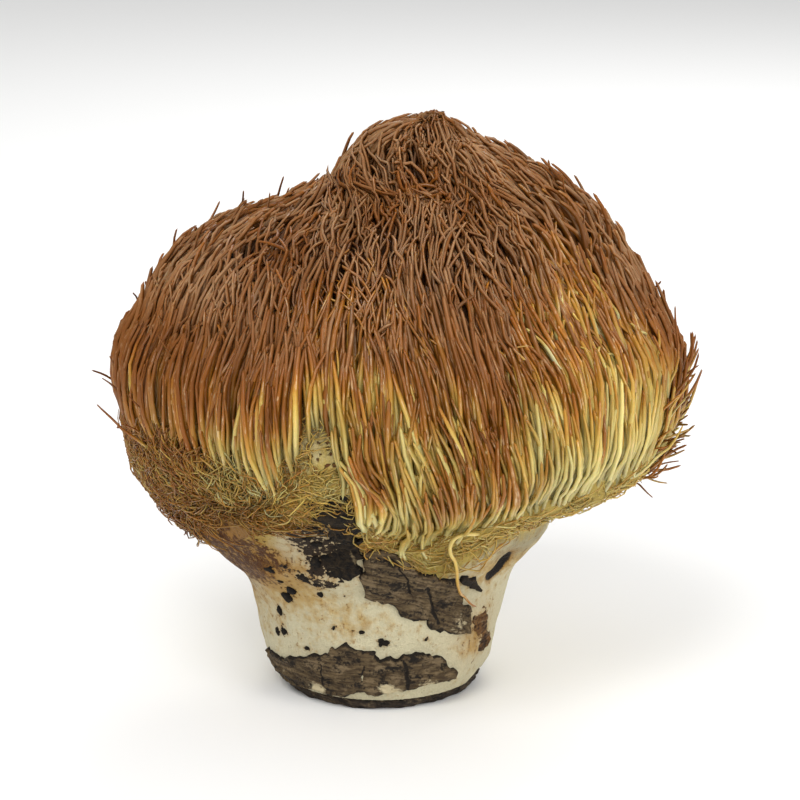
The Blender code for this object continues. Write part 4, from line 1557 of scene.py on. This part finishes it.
# The plates, by the node that each one stands for.
PLATES = {
    "bark_plate_low": BarkPlate(
        "plate_low", Key.TURN, (
            ((192, 8.5), (195, 4.4), (213, 4), (232, 3.8), (247, 4), (262, 5.5), (273, 6), (285, 6.5),
             (297, 8.5), (307, 8.5), (312, 10)),
            ((192, 11), (197, 13), (212, 13.5), (224, 15.5), (246, 19), (248, 22), (254.5, 23.5),
             (261, 22.5), (272, 18.5), (280, 18.5), (283, 19.5), (294, 19.5), (305, 15), (312, 10.6)),
        ),
        (180, 36), GREY, rise=1.3, flakes=0.9, slant=-0.05,
        dust=((212, 9, 3, 2.4, 0.4), (236, 6.5, 6, 2.2, 0.8), (273, 9, 5, 1.8, 0.75),
              (279, 7, 6, 1.8, 0.7), (296, 9, 8, 2.5, 0.55)),
        cracks=((286, -0.3, 5, 18, 0.9), (262, 0.2, 10, 17, 0.6), (240, 0.3, 8, 16, 0.5)),
    ),
    "bark_plate_high": BarkPlate(
        "plate_high", Key.TURN, (
            ((265.5, 46), (267, 39.5), (271, 37.5), (277, 35.5), (278.5, 33), (284.5, 31), (291, 31),
             (293, 27.5), (305, 24), (316.5, 22.5), (317.5, 27)),
            ((265.5, 48), (268, 50), (270.5, 57), (276.5, 59), (281, 55.5), (285, 51), (289.5, 47.5),
             (296, 45.5), (304.5, 41.5), (309, 36), (316, 31), (317.5, 28)),
        ),
        (120, 60), GREY, rise=1.3, flakes=0.75, slant=-0.35, dust=((309, 27, 7, 5, 0.5),),
        cracks=((297, -0.5, 28, 44, 0.9), (284, -0.4, 40, 55, 0.5)),
    ),
    "bark_crust_neck": BarkPlate(
        "crust_neck", Key.HEIGHT, (
            ((46.5, 256), (48, 255), (54.5, 260), (62, 261), (67.5, 259.5), (72, 255), (77, 256)),
            ((46.5, 262), (48, 266), (56.5, 271), (65, 268.5), (72, 267), (75.5, 264), (77, 260)),
        ),
        (90, 40), BLACK, rise=0.9, flakes=1.0, ragged=2.0, dust=((267, 54, 1.2, 4, 0.6),),
    ),
    "bark_chip_side": BarkPlate(
        "chip_side", Key.HEIGHT, (
            ((14, 332), (17, 325.5), (22, 319.5), (28, 321.5), (29.5, 327)),
            ((14, 336), (17.5, 339.5), (24.5, 332), (29.5, 328)),
        ),
        (56, 34), RED, rise=0.4, flakes=0.5, ragged=2.2,
    ),
    "bark_sliver": BarkPlate(
        "sliver", Key.TURN, (
            ((302, 43.5), (306.5, 40.5), (312, 38.5), (322.5, 35)),
            ((302, 45), (311.5, 42.5), (322.5, 36)),
        ),
        (70, 18), BLACK, rise=0.7, flakes=0.35, ragged=0.5, slant=-0.35,
    ),
}
# The section of the slab under the cut: share of the cut's radius and height in mm.
SLAB = np.array((
    (0.5, 0), (0.85, 0), (0.925, 0), (0.94, 0.3), (0.952, 0.8), (0.96, 1.3), (0.972, 1.8),
    (0.975, 2.3), (0.985, 2.8), (0.975, 3.2), (0.5, 3.2),
))


@dataclass
class Bark:
    """The scraps of bark that came away from the log with the stalk."""

    skin: Skin
    slab_top: float = 3.2 * MM
    slab_columns: int = 240
    knob: float = 0.55 * MM

    def foot(self) -> bpy.types.Object:
        """The slab under the cut: its section carried round the foot, and made rough at its edge.

        Returns:
            The object.
        """
        turn = np.linspace(0, FULL_TURN, self.slab_columns, endpoint=False)[None]
        share, level = SLAB[:, :1], SLAB[:, 1:] * MM
        edge = self.skin.point(turn + 0 * level, self.skin.foot + 0 * turn + 0 * level)
        points = edge * np.stack((share, share, 0 * share), -1)
        points[..., 2] = level
        rough = noise((edge * (1, 1, 0) + points * (0, 0, 2.5)) / (2.2 * MM), 73)
        grow = 1 + (0.7 * rough + 1.0 * noise(edge / (7 * MM), 79)) * (share > 0.9) / 33
        points[..., :2] *= grow[..., None]
        vertices = np.concatenate((points.reshape(-1, 3), (0 * UP, self.slab_top * UP)))
        x, y, z = vertices.T
        looks = {
            "across": z + 0.2 * x,
            "along": np.arctan2(y, x) * 32 * MM + y,
            "edge": 0.5 + 0 * z,
            "dust": 0.25 * smooth_step(1.5 * MM, self.slab_top, z),
        }
        return mesh_piece("foot_slab", vertices, closed_rings(len(SLAB), self.slab_columns), looks)

    def crumbs(self) -> bpy.types.Object:
        """The black crumbs on the stalk: flat knobs, each one a squashed and dented ball.

        Returns:
            The object.
        """
        degree, level, wide, tall = np.array(CRUMBS).T[..., None, None]
        spin = np.linspace(0, FULL_TURN, 16, endpoint=False)
        tilt = np.array((1.0, 1.0, 0.7, 0.35))
        drop = np.array((-0.7, 0.25, 0.8, 1.0))[:, None, None] * self.knob
        turn = np.radians(degree)
        spot, normals = self.skin.at(turn, self.skin.distance(turn, level * MM))
        side = unit(np.cross(UP, normals))
        flat = side * (np.outer(tilt, np.cos(spin)) * wide * MM)[..., None]
        flat = flat + np.cross(normals, side) * (np.outer(tilt, np.sin(spin)) * tall * MM)[..., None]
        place = spot + flat
        dents = 1.15 + 0.6 * noise(place / (1.1 * MM), 83) + 0.4 * noise(place / (0.5 * MM), 84)
        body = (spot + flat * dents[..., None] + normals * drop).reshape(len(CRUMBS), -1, 3)
        ends = [(spot + normals * end * MM)[:, 0] for end in (-0.6, 0.6)]
        points = np.concatenate((body, *ends), axis=1)
        faces = repeated(closed_rings(len(tilt), len(spin)), *points.shape[:2])
        x, _, z = points.reshape(-1, 3).T
        looks = {"across": z, "along": x, "edge": 0.6 + 0 * x, "dust": 0 * x}
        return mesh_piece("bark_crumbs", points.reshape(-1, 3), faces, looks)

    def build(self) -> None:
        """Builds every scrap and lets it stand for its solid."""
        finishes = {finish: finish.material() for finish in (GREY, RED, BLACK, FOOT)}
        for node, plate in PLATES.items():
            dress(plate.build(self.skin), finishes[plate.finish], (node,))
        dress(self.foot(), finishes[FOOT], ("bark_foot",))
        dress(self.crumbs(), finishes[BLACK])


@dataclass
class Studio:
    """The floor, the light and the camera at the photograph's viewing angle."""

    aim: Vector = Vector((6.2 * MM, 0, 90.2 * MM))
    distance: float = 1.0
    elevation: float = 15.0
    frame_width: float = 0.248
    sensor: float = 36.0
    floor_half: float = 6.0
    floor_colour: Colour = (246, 246, 245)
    sky: float = 0.62
    lights: tuple[tuple[str, Vector, float, float], ...] = (
        ("key", Vector((-0.35, -0.8, 1.15)), 0.65, 10),
        ("fill", Vector((0.9, -0.8, 0.5)), 0.8, 5),
        ("front", Vector((0.12, -1.15, 0.62)), 0.2, 1.6),
        ("back", Vector((0.3, 0.9, 0.9)), 0.8, 6),
    )

    def camera(self) -> None:
        """A camera in front, raised by the elevation and aimed at the middle of the picture."""
        data = bpy.data.cameras.new("camera")
        data.sensor_width = self.sensor
        data.lens = self.sensor * self.distance / self.frame_width
        data.clip_end = 20
        made = add_object("camera", data)
        angle = math.radians(self.elevation)
        made.location = self.aim + self.distance * Vector((0, -math.cos(angle), math.sin(angle)))
        made.rotation_euler = (math.radians(90 - self.elevation), 0, 0)
        bpy.context.scene.camera = made

    def light(self, name: str, place: Vector, size: float, power: float) -> None:
        """A square soft light that faces the object.

        Args:
            name: Its name.
            place: Where it hangs.
            size: Its side in metres.
            power: Its power in watts.
        """
        data = bpy.data.lights.new(name, "AREA")
        data.size = size
        data.energy = power
        made = add_object(name, data)
        made.location = place
        made.rotation_euler = (self.aim - place).to_track_quat("-Z", "Y").to_euler()

    def floor(self) -> None:
        """A wide pale floor under the cut face."""
        corners = np.array(((-1, -1, 0), (1, -1, 0), (1, 1, 0), (-1, 1, 0))) * self.floor_half
        made = mesh_piece("floor", corners, [np.arange(4)[None]], {})
        finish = Material("studio_floor", Base_Color=linear(self.floor_colour), Roughness=0.9)
        made.data.materials.append(finish.material)

    def build(self) -> None:
        """Builds the studio, with a white world all round."""
        world = bpy.data.worlds.new("studio")
        world.use_nodes = True
        sky = world.node_tree.nodes["Background"]
        sky.inputs["Color"].default_value = (1, 1, 1, 1)
        sky.inputs["Strength"].default_value = self.sky
        bpy.context.scene.world = world
        bpy.context.scene.view_settings.view_transform = "Standard"
        self.camera()
        self.floor()
        for row in self.lights:
            self.light(*row)
        LOG.info("studio: camera, floor and lights")


def main() -> None:
    """Builds the studio, then the mushroom from its flesh out, then the bark."""
    logging.basicConfig(level=logging.INFO, format="%(name)s: %(message)s")
    Studio().build()
    skin = Skin()
    coat = Coat(skin)
    Flesh(skin, coat).build()
    coat.build()
    Bark(skin).build()


if __name__ == "__main__":
    main()
